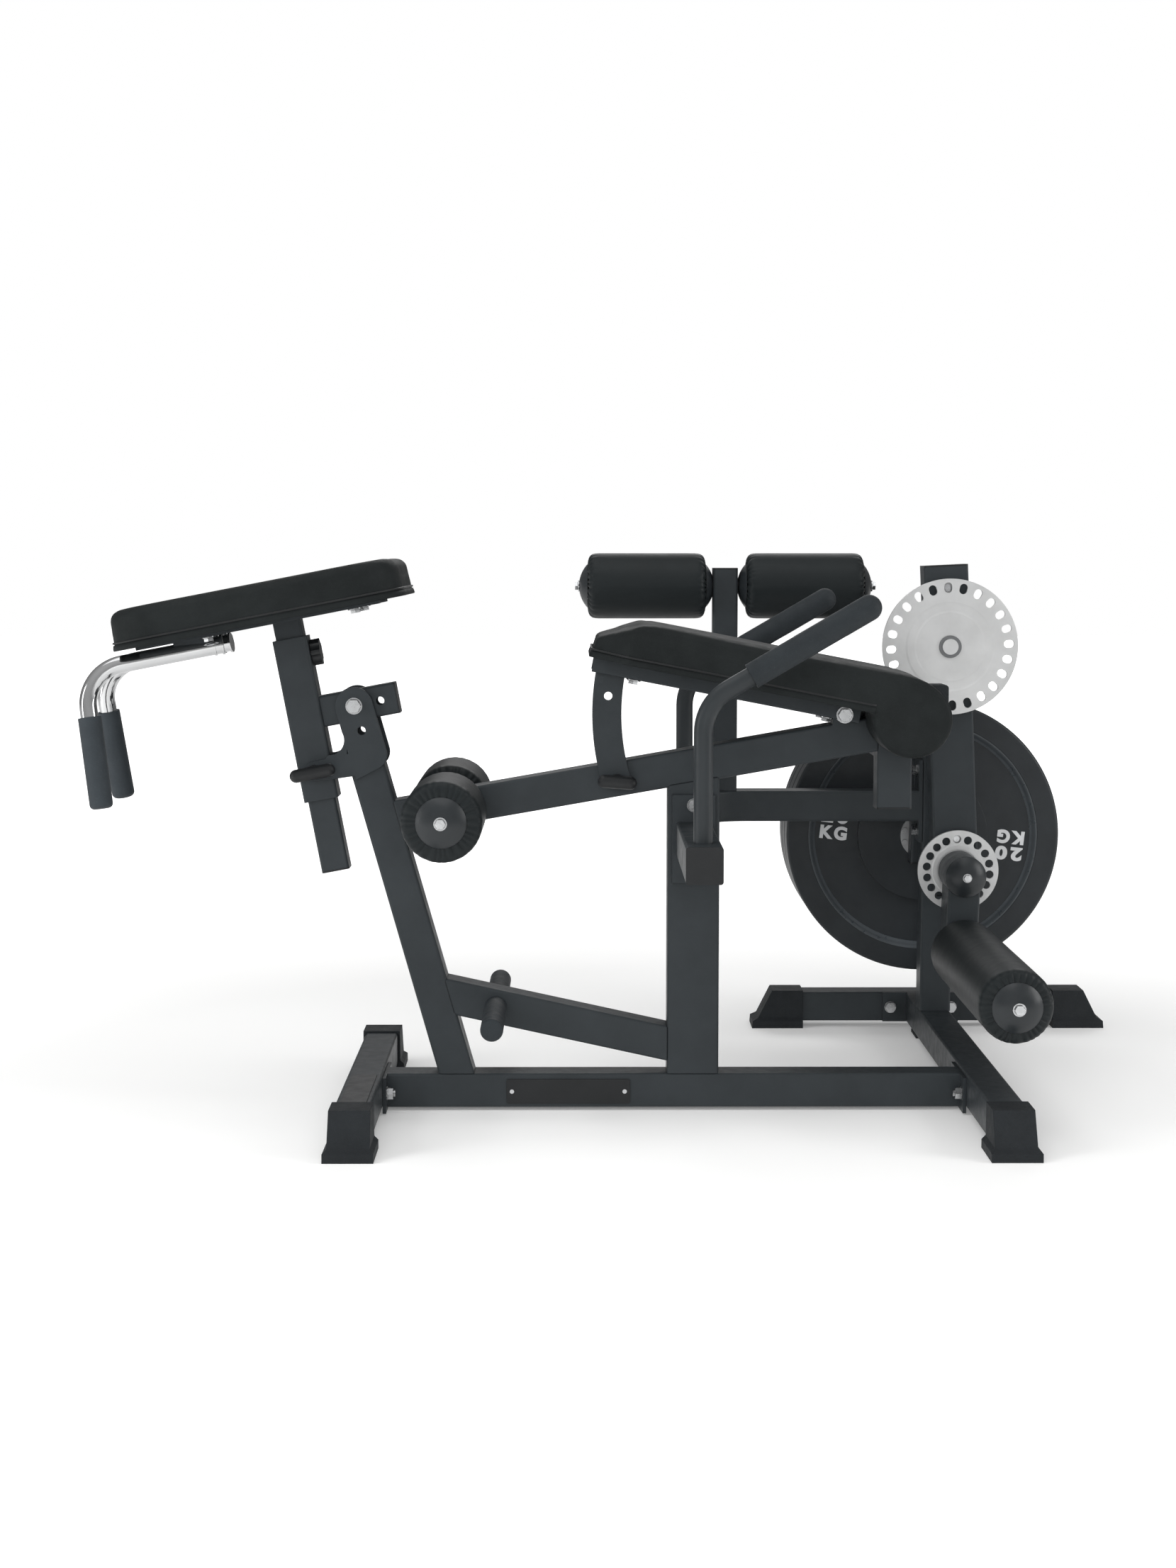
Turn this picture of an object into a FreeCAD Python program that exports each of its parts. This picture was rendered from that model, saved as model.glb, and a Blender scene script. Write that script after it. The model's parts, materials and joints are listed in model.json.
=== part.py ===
"""Plate-loaded lying leg curl with a tilting bench, a tilting chest pad and a swinging ankle lever.

Sizes are millimetres.  While modelling, X runs along the base rail towards the lever, Y runs across the
machine from the front handle to the weight plates, and Z is up from the floor, with X = 0 and Y = 0 at the
middle of the centre post.  Every piece is then shifted so that the origin lies on the floor under the
middle of the machine's outer box.
"""
import FreeCAD, Part
import math
import os

os.makedirs("parts", exist_ok=True)

V = FreeCAD.Vector
X_AXIS = V(1, 0, 0)
Y_AXIS = V(0, 1, 0)
Z_AXIS = V(0, 0, 1)

# ---- driving dimensions ---------------------------------------------------------------------------------

BOX_MIDDLE_X = -71.131         # middle of the machine's outer box, measured from the centre post
BOX_MIDDLE_Y = 175.5

TUBE = 50.0                    # main square tube
SMALL_TUBE = 40.0              # telescoping chest post and hold-down post
WALL = 2.5
TUBE_CORNER = 4.0
PLATE = 5.0                    # flanges, ears and other steel plate
POST_WIDTH = 75.0              # centre post, along X
LEVER_WIDTH = 70.0
RUNNING = 0.05                 # radial clearance of everything that turns or slides on a shaft

FLOOR_TUBE_Z = 36.0            # centre height of the three floor tubes
RAIL_Z = 30.0                  # centre height of the base rail
RAIL_TOP = RAIL_Z + TUBE / 2
LEFT_X = -474.0                # left cross tube
RIGHT_X = 419.0                # right cross tube, column and lever side
CROSS_REACH = 335.0            # half length of the left cross tube over its rubber feet
REAR_Y = 628.0                 # rear cross tube
REAR_REACH = 300.5
REAR_X = 431.5

FOOT_HEIGHT = 64.0
FOOT_WIDTH = 58.0
FOOT_LIP = 5.5                 # the base flares out by this much on each side
FOOT_LENGTH = 87.0
FOOT_LIP_HEIGHT = 17.5
FOOT_TOP_LENGTH = 52.0

POST_LEAN = 15.75              # left post leans back this many degrees
POST_FOOT_X = -343.5
POST_TOP_Z = 524.5
BRACE_ANGLE = 12.4
BAR_ANGLE = 9.9                # bench bar rises towards the lever
BAR_REF = V(-222.8, 0, 465.4)  # a point on the bench bar's centre line
PEG_X = -286.0
PEG_RADIUS = 16.0
PEG_REACH = 205.0

UPRIGHT_X = 289.0
UPRIGHT_BOTTOM = 444.0
UPRIGHT_TOP = 562.0
COLUMN_Y = 453.0
COLUMN_TOP = 735.0
SIDE_BAR_Z = 399.0             # front handle stub and rear side bar
STUB_REACH = 337.0
SIDE_BEND = 110.0
HANDLE_Y = 290.0
HANDLE_ANGLE = 30.3
HOLD_DOWN = V(71.5, 446, 0)    # thigh hold-down post
HOLD_DOWN_TOP = 785.0
HOLD_DOWN_ROLLER_Z = 756.0

CHEST_PIVOT = V(-487.5, 0, 591)
CHEST_LEAN = 10.62             # sleeve and post lean
CHEST_PAD_ANGLE = 10.97
SLEEVE_TOP = V(-579.8, 0, 687)
SLEEVE_LENGTH = 236.0
SLEEVE_WIDTH = 49.0
EAR_THICK = 5.5
CHEST_PAD_MIDDLE = V(-612.5, 0, 711.35)
CHEST_PAD_SIZE = V(413.6, 300, 54)
CHEST_PIN = V(-545.5, 0, 496.5)

SEAT_PIVOT = V(213.6, 0, 579.4)
SEAT_ANGLE = 10.96             # bench pad drops towards the lever
SEAT_WIDTH = 280.0
SEAT_THICK = 58.0
SEAT_GAP = 14.4                # from the pivot up to the pad's underside
SEAT_LEFT = 372.0
SEAT_ROLL = 56.0
SEAT_ROLL_AT = 84.9
SEAT_TILT = 20.9
QUADRANT_IN = 318.0
QUADRANT_OUT = 360.0
QUADRANT_HOLES = 338.0

ROLLER_RADIUS = 53.0
LEG_ROLLER_RADIUS = 57.0
ANKLE_ROLLER_RADIUS = 52.5
CAP_RADIUS = 33.0
CAP_RISE = 13.5                # from a roller's end face to the seat of its end screw
LINK_HUB_RADIUS = 31.8
AXLE_RADIUS = 8.0
LEG_ROLLER = V(-354, 0, 442.3)
ANKLE = V(433, 0, 191)

PIVOT = V(RIGHT_X + 1, 0, 662)
SHAFT_RADIUS = 12.5
LINK_PIVOT = V(437, 0, 307)
LEVER_Y = 364.0
DISC_RADIUS = 107.0
DISC_Y = 325.0
DISC_THICK = 6.0
SMALL_DISC_RADIUS = 64.0
HORN = V(409.6, 0, 339)
ARM_Y = 503.0
ARM_DEPTH = 38.0
HORN_RADIUS = 24.8
PLATES_Y = 530.5
PLATE_DIAMETER = 455.0
PLATE_WIDTH = 48.0
PLATE_COUNT = 3

pieces = {}


# ---- geometry helpers -----------------------------------------------------------------------------------

def at(point, y=0.0, dx=0.0, dz=0.0):
    """The same point moved across the machine by y and shifted in its own plane."""
    return V(point.x + dx, y, point.z + dz)


def slope(degrees):
    """Unit vector in the XZ plane, this many degrees above +X."""
    return V(math.cos(math.radians(degrees)), 0, math.sin(math.radians(degrees)))


def seated(shape, origin, x_dir, z_dir):
    """The shape with its local X and Z turned to the given directions and its origin moved."""
    turned = shape.copy()
    turn = FreeCAD.Rotation(x_dir, z_dir.cross(x_dir), z_dir, "ZXY")
    turned.Placement = FreeCAD.Placement(origin, turn)
    return turned


def rounded_face(width, depth, radius):
    """Rectangle in the XY plane, centred on the origin, with round corners."""
    a = width / 2 - radius
    b = depth / 2 - radius
    edges = []
    for cx, cy, start in ((a, b, 0), (-a, b, 90), (-a, -b, 180), (a, -b, 270)):
        edges.append(Part.makeCircle(radius, V(cx, cy, 0), Z_AXIS, start, start + 90))
    for p, q in (
        (V(a, b + radius, 0), V(-a, b + radius, 0)),
        (V(-a - radius, b, 0), V(-a - radius, -b, 0)),
        (V(-a, -b - radius, 0), V(a, -b - radius, 0)),
        (V(a + radius, -b, 0), V(a + radius, b, 0)),
    ):
        edges.append(Part.makeLine(p, q))
    return Part.Face(Part.Wire(Part.__sortEdges__(edges)))


def bar(start, end, side, width=TUBE, depth=TUBE, radius=TUBE_CORNER):
    """Solid bar of rounded rectangular section; the width lies along side."""
    run = end - start
    solid = rounded_face(width, depth, radius).extrude(Z_AXIS * run.Length)
    return seated(solid, start, side, run.normalize())


def tube(start, end, side, width=TUBE, depth=TUBE, wall=WALL):
    """Hollow rectangular tube, open at both ends."""
    outer = bar(start, end, side, width, depth)
    inner = bar(start, end, side, width - 2 * wall, depth - 2 * wall, TUBE_CORNER - wall + 0.5)
    return outer.cut(inner)


def box(low, high):
    size = high - low
    return Part.makeBox(size.x, size.y, size.z, low)


def rod(start, end, radius):
    run = end - start
    return Part.makeCylinder(radius, run.Length, start, run.normalize())


def ring(start, end, radius, bore):
    return rod(start, end, radius).cut(rod(start, end, bore))


def fused(*shapes):
    return shapes[0].multiFuse(list(shapes[1:])).removeSplitter()


def plate_xz(points, y_low, thickness):
    """Flat plate whose outline lies in the XZ plane."""
    outline = Part.makePolygon([V(p.x, y_low, p.z) for p in points] + [V(points[0].x, y_low, points[0].z)])
    return Part.Face(outline).extrude(V(0, thickness, 0))


def hexagon(centre, axis, across, height):
    """Hexagonal prism that stands on centre and grows along axis."""
    corners = [
        V(across / math.sqrt(3) * math.cos(math.radians(60 * i)),
          across / math.sqrt(3) * math.sin(math.radians(60 * i)), 0)
        for i in range(7)
    ]
    prism = Part.Face(Part.makePolygon(corners)).extrude(V(0, 0, height))
    side = Y_AXIS if abs(axis.y) < 0.5 else X_AXIS
    return seated(prism, centre, side, axis)


def bolt(seat, into, grip, radius=5.0, across=16.0):
    """Hex bolt with two washers and a nut that clamps a stack of this thickness."""
    out = into * -1
    far = seat + into * grip
    washer = radius * 2
    return fused(
        rod(seat, seat + out * 1.6, washer),
        hexagon(seat + out * 1.6, out, across, radius * 1.25),
        rod(seat, far + into * (radius * 2.2 + 1.6), radius),
        rod(far, far + into * 1.6, washer),
        hexagon(far + into * 1.6, into, across, radius * 1.6),
    )


def screw(seat, into, length, radius=4.0, across=13.0):
    """Hex screw with a washer, screwed up from below or from the side."""
    out = into * -1
    return fused(
        rod(seat, seat + out * 1.4, across * 0.8),
        hexagon(seat + out * 1.4, out, across, radius * 1.3),
        rod(seat, seat + into * length, radius),
    )


def drilled(shape, seat, into, grip, radius):
    """The shape with a clearance hole for a bolt that enters at seat."""
    return shape.cut(rod(seat - into * 2, seat + into * (grip + 2), radius))


def bent_path(points, radii):
    """Wire through the points with a round bend of the given radius at each inner point."""
    edges = []
    last = points[0]
    for before, corner, after, radius in zip(points, points[1:], points[2:], radii):
        inward = (before - corner).normalize()
        outward = (after - corner).normalize()
        half = math.acos(max(-1.0, min(1.0, inward.dot(outward)))) / 2
        reach = radius / math.tan(half)
        middle = (inward + outward).normalize()
        crown = corner + middle * (radius / math.sin(half) - radius)
        first = corner + inward * reach
        second = corner + outward * reach
        edges.append(Part.makeLine(last, first))
        edges.append(Part.Arc(first, crown, second).toShape())
        last = second
    edges.append(Part.makeLine(last, points[-1]))
    return Part.Wire(edges)


def bent_rod(points, radii, radius):
    """Round bar swept along a bent path."""
    path = bent_path(points, radii)
    circle = Part.Wire([Part.makeCircle(radius, points[0], (points[1] - points[0]).normalize())])
    return path.makePipeShell([circle], True, False)


def mirrored(shape):
    """The same piece on the other side of the bench."""
    return shape.mirror(V(0, 0, 0), Y_AXIS)


def keep(name, *shapes):
    """Add solids to a node; pieces that are welded together or identical share one."""
    for shape in shapes:
        pieces.setdefault(name, []).extend(shape.Solids)


# ---- floor frame ----------------------------------------------------------------------------------------

def foot_cap():
    """Rubber foot at the origin: the tube enters from -X and the outer base edge lies at X = 0."""
    upright_end = FOOT_LENGTH - FOOT_TOP_LENGTH - (FOOT_LENGTH - FOOT_TOP_LENGTH) * 0.02
    lip_end = 11.0

    def outline(x_low, x_high, half, z):
        return Part.makePolygon([
            V(x_low, -half, z), V(x_high, -half, z), V(x_high, half, z), V(x_low, half, z),
            V(x_low, -half, z),
        ])

    half = FOOT_WIDTH / 2
    base = outline(-FOOT_LENGTH, 0, half + FOOT_LIP, 0)
    sole_top = outline(-FOOT_LENGTH, -1.0, half + FOOT_LIP, 12)
    lip_top = outline(-FOOT_LENGTH, -lip_end, half, FOOT_LIP_HEIGHT)
    top = outline(-FOOT_LENGTH, -upright_end, half - 0.5, FOOT_HEIGHT)
    sole = Part.makeLoft([base, sole_top], True, True)
    lip = Part.makeLoft([sole_top, lip_top], True, True)
    body = Part.makeLoft([lip_top, top], True, True)
    socket = bar(V(-FOOT_LENGTH - 1, 0, FLOOR_TUBE_Z), V(-39, 0, FLOOR_TUBE_Z), Y_AXIS)
    return fused(sole, lip, body).cut(socket)


def build_floor_frame():
    tube_end = 39.0
    feet = []
    for x, y, outward in (
        (LEFT_X, -CROSS_REACH, V(0, -1, 0)),
        (LEFT_X, CROSS_REACH, V(0, 1, 0)),
        (RIGHT_X, -CROSS_REACH, V(0, -1, 0)),
        (REAR_X - REAR_REACH, REAR_Y, V(-1, 0, 0)),
        (REAR_X + REAR_REACH, REAR_Y, V(1, 0, 0)),
    ):
        feet.append(seated(foot_cap(), V(x, y, 0), outward, Z_AXIS))
    keep("rubber_feet", *feet)
    keep("rubber_feet", fused(
        box(V(RIGHT_X - 20, 505, 0), V(RIGHT_X + 20, 565, 5)),
        box(V(RIGHT_X - 14, 512, 5), V(RIGHT_X + 14, 558, FLOOR_TUBE_Z - TUBE / 2)),
    ))

    z = FLOOR_TUBE_Z
    cross_end = CROSS_REACH - tube_end
    left = tube(V(LEFT_X, -cross_end, z), V(LEFT_X, cross_end, z), X_AXIS)
    rear_front = REAR_Y - TUBE / 2
    right = tube(V(RIGHT_X, -cross_end, z), V(RIGHT_X, rear_front - PLATE, z), X_AXIS)
    rear_end = REAR_REACH - tube_end
    rear = tube(V(REAR_X - rear_end, REAR_Y, z), V(REAR_X + rear_end, REAR_Y, z), Y_AXIS)
    right_flange = box(V(RIGHT_X - 64.5, rear_front - PLATE, z - 25), V(RIGHT_X + 64.5, rear_front, z + 25))

    left_face = LEFT_X + TUBE / 2
    right_face = RIGHT_X - TUBE / 2
    rail = tube(V(left_face + PLATE, 0, RAIL_Z), V(right_face - PLATE, 0, RAIL_Z), Y_AXIS)
    flange_low = V(0, -57, RAIL_Z - 27)
    flange_high = V(PLATE, 57, RAIL_Z + 25)
    rail_flange_left = box(V(left_face, 0, 0) + flange_low, V(left_face, 0, 0) + flange_high)
    flange_back = V(right_face - PLATE, 0, 0)
    rail_flange_right = box(flange_back + flange_low, flange_back + flange_high)

    bolts = []
    grip = TUBE + PLATE
    for y in (-42.0, 42.0):
        seat = V(LEFT_X - TUBE / 2, y, RAIL_Z)
        bolts.append(bolt(seat, X_AXIS, grip))
        left = drilled(left, seat, X_AXIS, grip, 5.1)
        rail_flange_left = drilled(rail_flange_left, seat, X_AXIS, grip, 5.1)
        seat = V(RIGHT_X + TUBE / 2, y, RAIL_Z)
        bolts.append(bolt(seat, V(-1, 0, 0), grip))
        right = drilled(right, seat, V(-1, 0, 0), grip, 5.1)
        rail_flange_right = drilled(rail_flange_right, seat, V(-1, 0, 0), grip, 5.1)
    for dx in (-51.5, 51.5):
        seat = V(RIGHT_X + dx, rear_front - PLATE, z)
        bolts.append(bolt(seat, Y_AXIS, grip))
        right_flange = drilled(right_flange, seat, Y_AXIS, grip, 5.1)
        rear = drilled(rear, seat, Y_AXIS, grip, 5.1)
    keep("frame_bolts", *bolts)
    keep("left_cross_tube", left)
    keep("right_cross_tube", fused(right, right_flange))
    keep("rear_cross_tube", rear)
    keep("base_rail", fused(rail, rail_flange_left, rail_flange_right))

    badge_front = -TUBE / 2 - 1.6
    badge_back = V(-181, -TUBE / 2, RAIL_Z - 1)
    keep("rail_badge", bar(V(-181, badge_front, RAIL_Z - 1), badge_back, X_AXIS, 180, 36, 3))
    label = V(LEFT_X, -152, FLOOR_TUBE_Z + TUBE / 2)
    keep("rail_badge", bar(label, label + V(0, 0, 1.2), Y_AXIS, 180, 36, 3))
    rivets = [rod(V(-181 + dx, badge_front - 1.2, RAIL_Z - 1), V(-181 + dx, badge_front, RAIL_Z - 1), 3.2)
              for dx in (-82, 82)]
    keep("frame_bolts", *rivets)


# ---- upright frame --------------------------------------------------------------------------------------

def bar_centre(x):
    """Point on the bench bar's centre line at this X."""
    return V(x, 0, BAR_REF.z + (x - BAR_REF.x) * math.tan(math.radians(BAR_ANGLE)))


def build_upright_frame():
    lean = slope(90 + POST_LEAN)
    post_foot = V(POST_FOOT_X, 0, RAIL_TOP)
    post_top = post_foot + lean * ((POST_TOP_Z - RAIL_TOP) / math.cos(math.radians(POST_LEAN)))
    low = post_foot - lean * 40
    below = box(V(-600, -60, RAIL_TOP - 100), V(-200, 60, RAIL_TOP))
    post_solid = bar(low, post_top, Y_AXIS)
    left_post = tube(low, post_top, Y_AXIS).cut(below)

    centre_solid = bar(V(0, 0, RAIL_TOP), V(0, 0, 600), X_AXIS, POST_WIDTH, TUBE)
    centre_post = tube(V(0, 0, RAIL_TOP), V(0, 0, 600), X_AXIS, POST_WIDTH, TUBE)

    bench_solid = bar(bar_centre(-520), bar_centre(UPRIGHT_X - TUBE / 2 + 10), Y_AXIS)
    bench = tube(bar_centre(-520), bar_centre(UPRIGHT_X - TUBE / 2 + 10), Y_AXIS)
    rise = V(0, 0, 45)
    above = bench_solid.fuse(bar(bar_centre(-200) + rise, bar_centre(200) + rise, Y_AXIS, 60, 80))
    above = above.fuse(box(V(-60, -60, 520), V(60, 60, 700)))
    centre_post = centre_post.cut(above)
    upright = tube(V(UPRIGHT_X, 0, UPRIGHT_BOTTOM), V(UPRIGHT_X, 0, UPRIGHT_TOP), X_AXIS)
    beyond_left = post_solid.fuse(bar(low - X_AXIS * 95, post_top - X_AXIS * 95, Y_AXIS, 60, 160))
    beyond_right = box(V(UPRIGHT_X - TUBE / 2, -60, 400), V(UPRIGHT_X + 60, 60, 700))
    bench = bench.cut(beyond_left).cut(beyond_right)

    brace_end = V(0, 0, 0) + V(-38, 0, 99)
    brace_run = slope(180 - BRACE_ANGLE)
    brace_line = (brace_end - brace_run * 30, brace_end + brace_run * 400)
    brace = tube(*brace_line, Y_AXIS).cut(centre_solid)
    brace = brace.cut(box(V(-37.6, -60, 0), V(100, 60, 300)))
    brace = brace.cut(post_solid)
    brace = brace.cut(bar(low - X_AXIS * 40, post_top - X_AXIS * 40, Y_AXIS, 60, 60))

    peg_centre = V(PEG_X, 0, 99 + (-38 - PEG_X) * math.tan(math.radians(BRACE_ANGLE)))
    peg_core = rod(at(peg_centre, -PEG_REACH + 4), at(peg_centre, PEG_REACH - 4), 11)
    brace = brace.cut(rod(at(peg_centre, -60), at(peg_centre, 60), 11))
    sleeve = rod(at(peg_centre, -PEG_REACH), at(peg_centre, -TUBE / 2 - 1), PEG_RADIUS)
    sleeve = sleeve.makeFillet(5, [sleeve.Edges[0], sleeve.Edges[2]])
    sleeve = sleeve.cut(peg_core)

    bolts = []
    holes = [V(0, -TUBE / 2 - 6, SIDE_BAR_Z + dz) for dz in (-49, 49)]
    for seat in holes:
        bolts.append(bolt(seat, Y_AXIS, TUBE + 12))
        centre_post = drilled(centre_post, seat, Y_AXIS, TUBE + 12, 5.1)

    axle_hole = rod(at(LEG_ROLLER, -60), at(LEG_ROLLER, 60), AXLE_RADIUS)
    bench = bench.cut(axle_hole)

    keep("left_post", left_post)
    keep("centre_post", centre_post)
    keep("bench_bar", bench)
    keep("front_upright", upright)
    keep("diagonal_brace", brace)
    keep("diagonal_brace", peg_core)
    keep("frame_grips", sleeve, mirrored(sleeve))
    return bolts, holes


def end_plug(centre, outward, side, width, depth, head_thick=2.5):
    """Plastic insert: a thin head over the tube's end and a block inside it."""
    head = bar(centre, centre + outward * head_thick, side, width, depth, TUBE_CORNER)
    block = bar(centre - outward * 12, centre, side, width - 2 * WALL - 0.4, depth - 2 * WALL - 0.4, 1.5)
    return fused(head, block)


def build_side_bars(bolts, holes):
    z = SIDE_BAR_Z
    front = -TUBE / 2 - 6
    stub = tube(V(0, front, z), V(0, -STUB_REACH + 2.5, z), X_AXIS)
    stub_flange = box(V(-31, front, z - 64), V(31, front + 6, z + 64))
    for seat in holes:
        stub_flange = drilled(stub_flange, seat, Y_AXIS, TUBE + 12, 5.1)
    keep("handle_stub", fused(stub, stub_flange))

    # the side bar leaves the post backwards, bends round and runs to the column
    centre = V(SIDE_BEND, COLUMN_Y - SIDE_BEND, z)
    column_face = RIGHT_X - TUBE / 2
    back = TUBE / 2 + 6

    def side_bar_run(width, radius):
        leg = bar(V(0, back, z), V(0, centre.y, z), X_AXIS, width, width, radius)
        face = seated(rounded_face(width, width, radius), V(0, centre.y, z), X_AXIS, Y_AXIS)
        bend = face.revolve(centre, V(0, 0, -1), 90)
        run = bar(V(SIDE_BEND, COLUMN_Y, z), V(column_face - 6, COLUMN_Y, z), Y_AXIS, width, width, radius)
        return leg, bend, run

    outer = fused(*side_bar_run(TUBE, TUBE_CORNER))
    inner = fused(*side_bar_run(TUBE - 2 * WALL, TUBE_CORNER - WALL + 0.5))
    post_flange = box(V(-31, TUBE / 2, z - 64), V(31, back, z + 64))
    for seat in holes:
        post_flange = drilled(post_flange, seat, Y_AXIS, TUBE + 12, 5.1)
    flange_z = z + 8
    column_flange = box(
        V(column_face - 6, COLUMN_Y - 25, flange_z - 67), V(column_face, COLUMN_Y + 25, flange_z + 67))

    column = tube(V(RIGHT_X, COLUMN_Y, FLOOR_TUBE_Z + 25), V(RIGHT_X, COLUMN_Y, COLUMN_TOP), X_AXIS)
    for dz in (-49, 49):
        seat = V(column_face - 6, COLUMN_Y, flange_z + dz)
        bolts.append(bolt(seat, X_AXIS, TUBE + 6))
        column_flange = drilled(column_flange, seat, X_AXIS, TUBE + 6, 5.1)
        column = drilled(column, seat, X_AXIS, TUBE + 6, 5.1)
    keep("rear_side_bar", fused(outer.cut(inner), post_flange, column_flange))

    # flanged plain bearings sit in the column's front and back walls
    bearings = []
    for face, out in ((COLUMN_Y - 25, -1), (COLUMN_Y + 25, 1)):
        bush_out = at(PIVOT, face + out * 4)
        bush_in = at(PIVOT, face - out * 8)
        bush = fused(rod(at(PIVOT, face), bush_out, 21), rod(bush_in, bush_out, 17))
        bearings.append(bush.cut(rod(bush_in, bush_out, SHAFT_RADIUS + RUNNING)))
    column = column.cut(rod(at(PIVOT, COLUMN_Y - 40), at(PIVOT, COLUMN_Y + 40), 17))
    keep("column", column)
    keep("pivot_bolts_and_bearings", *bearings)
    keep("frame_bolts", *bolts)

    plugs = [
        end_plug(V(0, -STUB_REACH + 2.5, z), V(0, -1, 0), X_AXIS, TUBE, TUBE),
        end_plug(V(RIGHT_X, COLUMN_Y, COLUMN_TOP), Z_AXIS, X_AXIS, TUBE, TUBE),
        end_plug(V(UPRIGHT_X, 0, UPRIGHT_BOTTOM), V(0, 0, -1), X_AXIS, TUBE, TUBE),
    ]
    keep("frame_end_plugs", *plugs)

    # bumper behind the bench roll, on a bracket from the upright
    bumper_low = V(342, 150, 561)
    bumper = bar(bumper_low + V(25, 0, 25), bumper_low + V(25, 50, 25), X_AXIS, 50, 50, 5)
    bracket = fused(
        box(V(274, TUBE / 2, 508), V(304, 180, 516)),
        box(V(274, 172, 508), V(342, 180, 600)),
    )
    keep("front_upright", bracket)
    keep("rubber_bumper", bumper)


def build_handles():
    turn = V(0, 0, 609.6)
    end = V(233, 0, 609.6 + 233 * math.tan(math.radians(HANDLE_ANGLE)))
    along = slope(HANDLE_ANGLE)
    grip_start = turn + along * 73
    grip_end = turn + along * (end - turn).Length
    grips = []
    for y in (-HANDLE_Y, HANDLE_Y):
        foot = V(0, y, SIDE_BAR_Z + TUBE / 2)
        path = [foot, at(turn, y), at(grip_end, y) - along * 20.5]
        keep("handle_bars", bent_rod(path, [65], 13))
        sleeve = rod(at(grip_start, y), at(grip_end, y) - along * 17.5, 17.5)
        dome = Part.makeSphere(17.5, at(grip_end, y) - along * 17.5)
        core = rod(at(grip_start, y), at(grip_end, y) - along * 20.5, 13)
        grips.append(fused(sleeve, dome).cut(core))
    keep("frame_grips", *grips)


# ---- foam rollers ---------------------------------------------------------------------------------------

def roller(start, end, radius=ROLLER_RADIUS):
    """Foam sleeve with softly rounded ends and two plastic end caps that turn on the axle."""
    along = (end - start).normalize()
    foam = rod(start, end, radius)
    rims = [e for e in foam.Edges if len(e.Vertexes) == 1]
    foam = foam.makeFillet(10, rims)
    foam = foam.cut(rod(start, end, 15))
    caps = []
    for face, out in ((start, along * -1), (end, along)):
        # a flat dome outside and a short hub inside the foam
        ball = 52.0
        rise = ball - math.sqrt(ball * ball - CAP_RADIUS * CAP_RADIUS)
        dome = Part.makeSphere(ball, face + out * (rise - ball + 2))
        cut = Part.makeCylinder(80, 200, face - out * 200, out)
        dome = dome.cut(cut)
        hub = rod(face - out * 22, face, 15)
        bore = rod(face - out * 30, face + out * 40, AXLE_RADIUS + RUNNING)
        caps.append(fused(dome, hub).cut(bore))
    return foam, caps


def axle(start, end):
    """Plain rod with a hex screw head and washer on each end."""
    along = (end - start).normalize()
    parts = [rod(start, end, AXLE_RADIUS)]
    for tip, out in ((start, along * -1), (end, along)):
        parts.append(rod(tip, tip + out * 1.6, 9.2))
        parts.append(hexagon(tip + out * 1.6, out, 12.5, 5))
    return fused(*parts)


def build_leg_rollers():
    inner = 44.0
    outer = 211.0
    for name, sign in (("front", -1), ("rear", 1)):
        foam, caps = roller(at(LEG_ROLLER, sign * inner), at(LEG_ROLLER, sign * outer), LEG_ROLLER_RADIUS)
        keep("leg_roller_%s_foam" % name, foam)
        flat_inner = caps[0].common(box(V(-500, -400, 300), V(-200, 400, 600)))
        trimmed = flat_inner.cut(box(V(-500, -28, 300), V(-200, 28, 600)))
        keep("leg_roller_%s_caps" % name, trimmed, caps[1])
    ends = outer + CAP_RISE
    keep("roller_axles", axle(at(LEG_ROLLER, -ends), at(LEG_ROLLER, ends)))


def build_hold_down():
    foot = V(HOLD_DOWN.x, HOLD_DOWN.y, SIDE_BAR_Z + TUBE / 2)
    top = V(HOLD_DOWN.x, HOLD_DOWN.y, HOLD_DOWN_TOP - 2.5)
    middle = V(HOLD_DOWN.x, HOLD_DOWN.y, HOLD_DOWN_ROLLER_Z)
    post = tube(foot, top, X_AXIS, SMALL_TUBE, SMALL_TUBE)
    post = post.cut(rod(middle - X_AXIS * 40, middle + X_AXIS * 40, AXLE_RADIUS))
    keep("hold_down_post", post)
    keep("frame_end_plugs", end_plug(top, Z_AXIS, X_AXIS, SMALL_TUBE, SMALL_TUBE))
    for name, start, end in (("left", -31.5, -222.5), ("right", 33.5, 223.5)):
        foam, caps = roller(middle + X_AXIS * start, middle + X_AXIS * end)
        keep("hold_down_%s_foam" % name, foam)
        gap = SMALL_TUBE / 2 + 1
        beside = box(middle + V(-gap, -60, -60), middle + V(gap, 60, 60))
        keep("hold_down_%s_caps" % name, caps[0].cut(beside), caps[1])
    keep("roller_axles", axle(middle - X_AXIS * (222.5 + CAP_RISE), middle + X_AXIS * (223.5 + CAP_RISE)))


# ---- chest pad ------------------------------------------------------------------------------------------

def pad_block(length, width, height, corner, edge):
    """Cushion envelope centred over the origin: round plan corners and a softened top edge."""
    slab = rounded_face(length, width, corner).extrude(V(0, 0, height))
    rim = [e for e in slab.Edges if all(abs(v.Z - height) < 1e-6 for v in e.Vertexes)]
    return slab.makeFillet(edge, rim)


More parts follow.
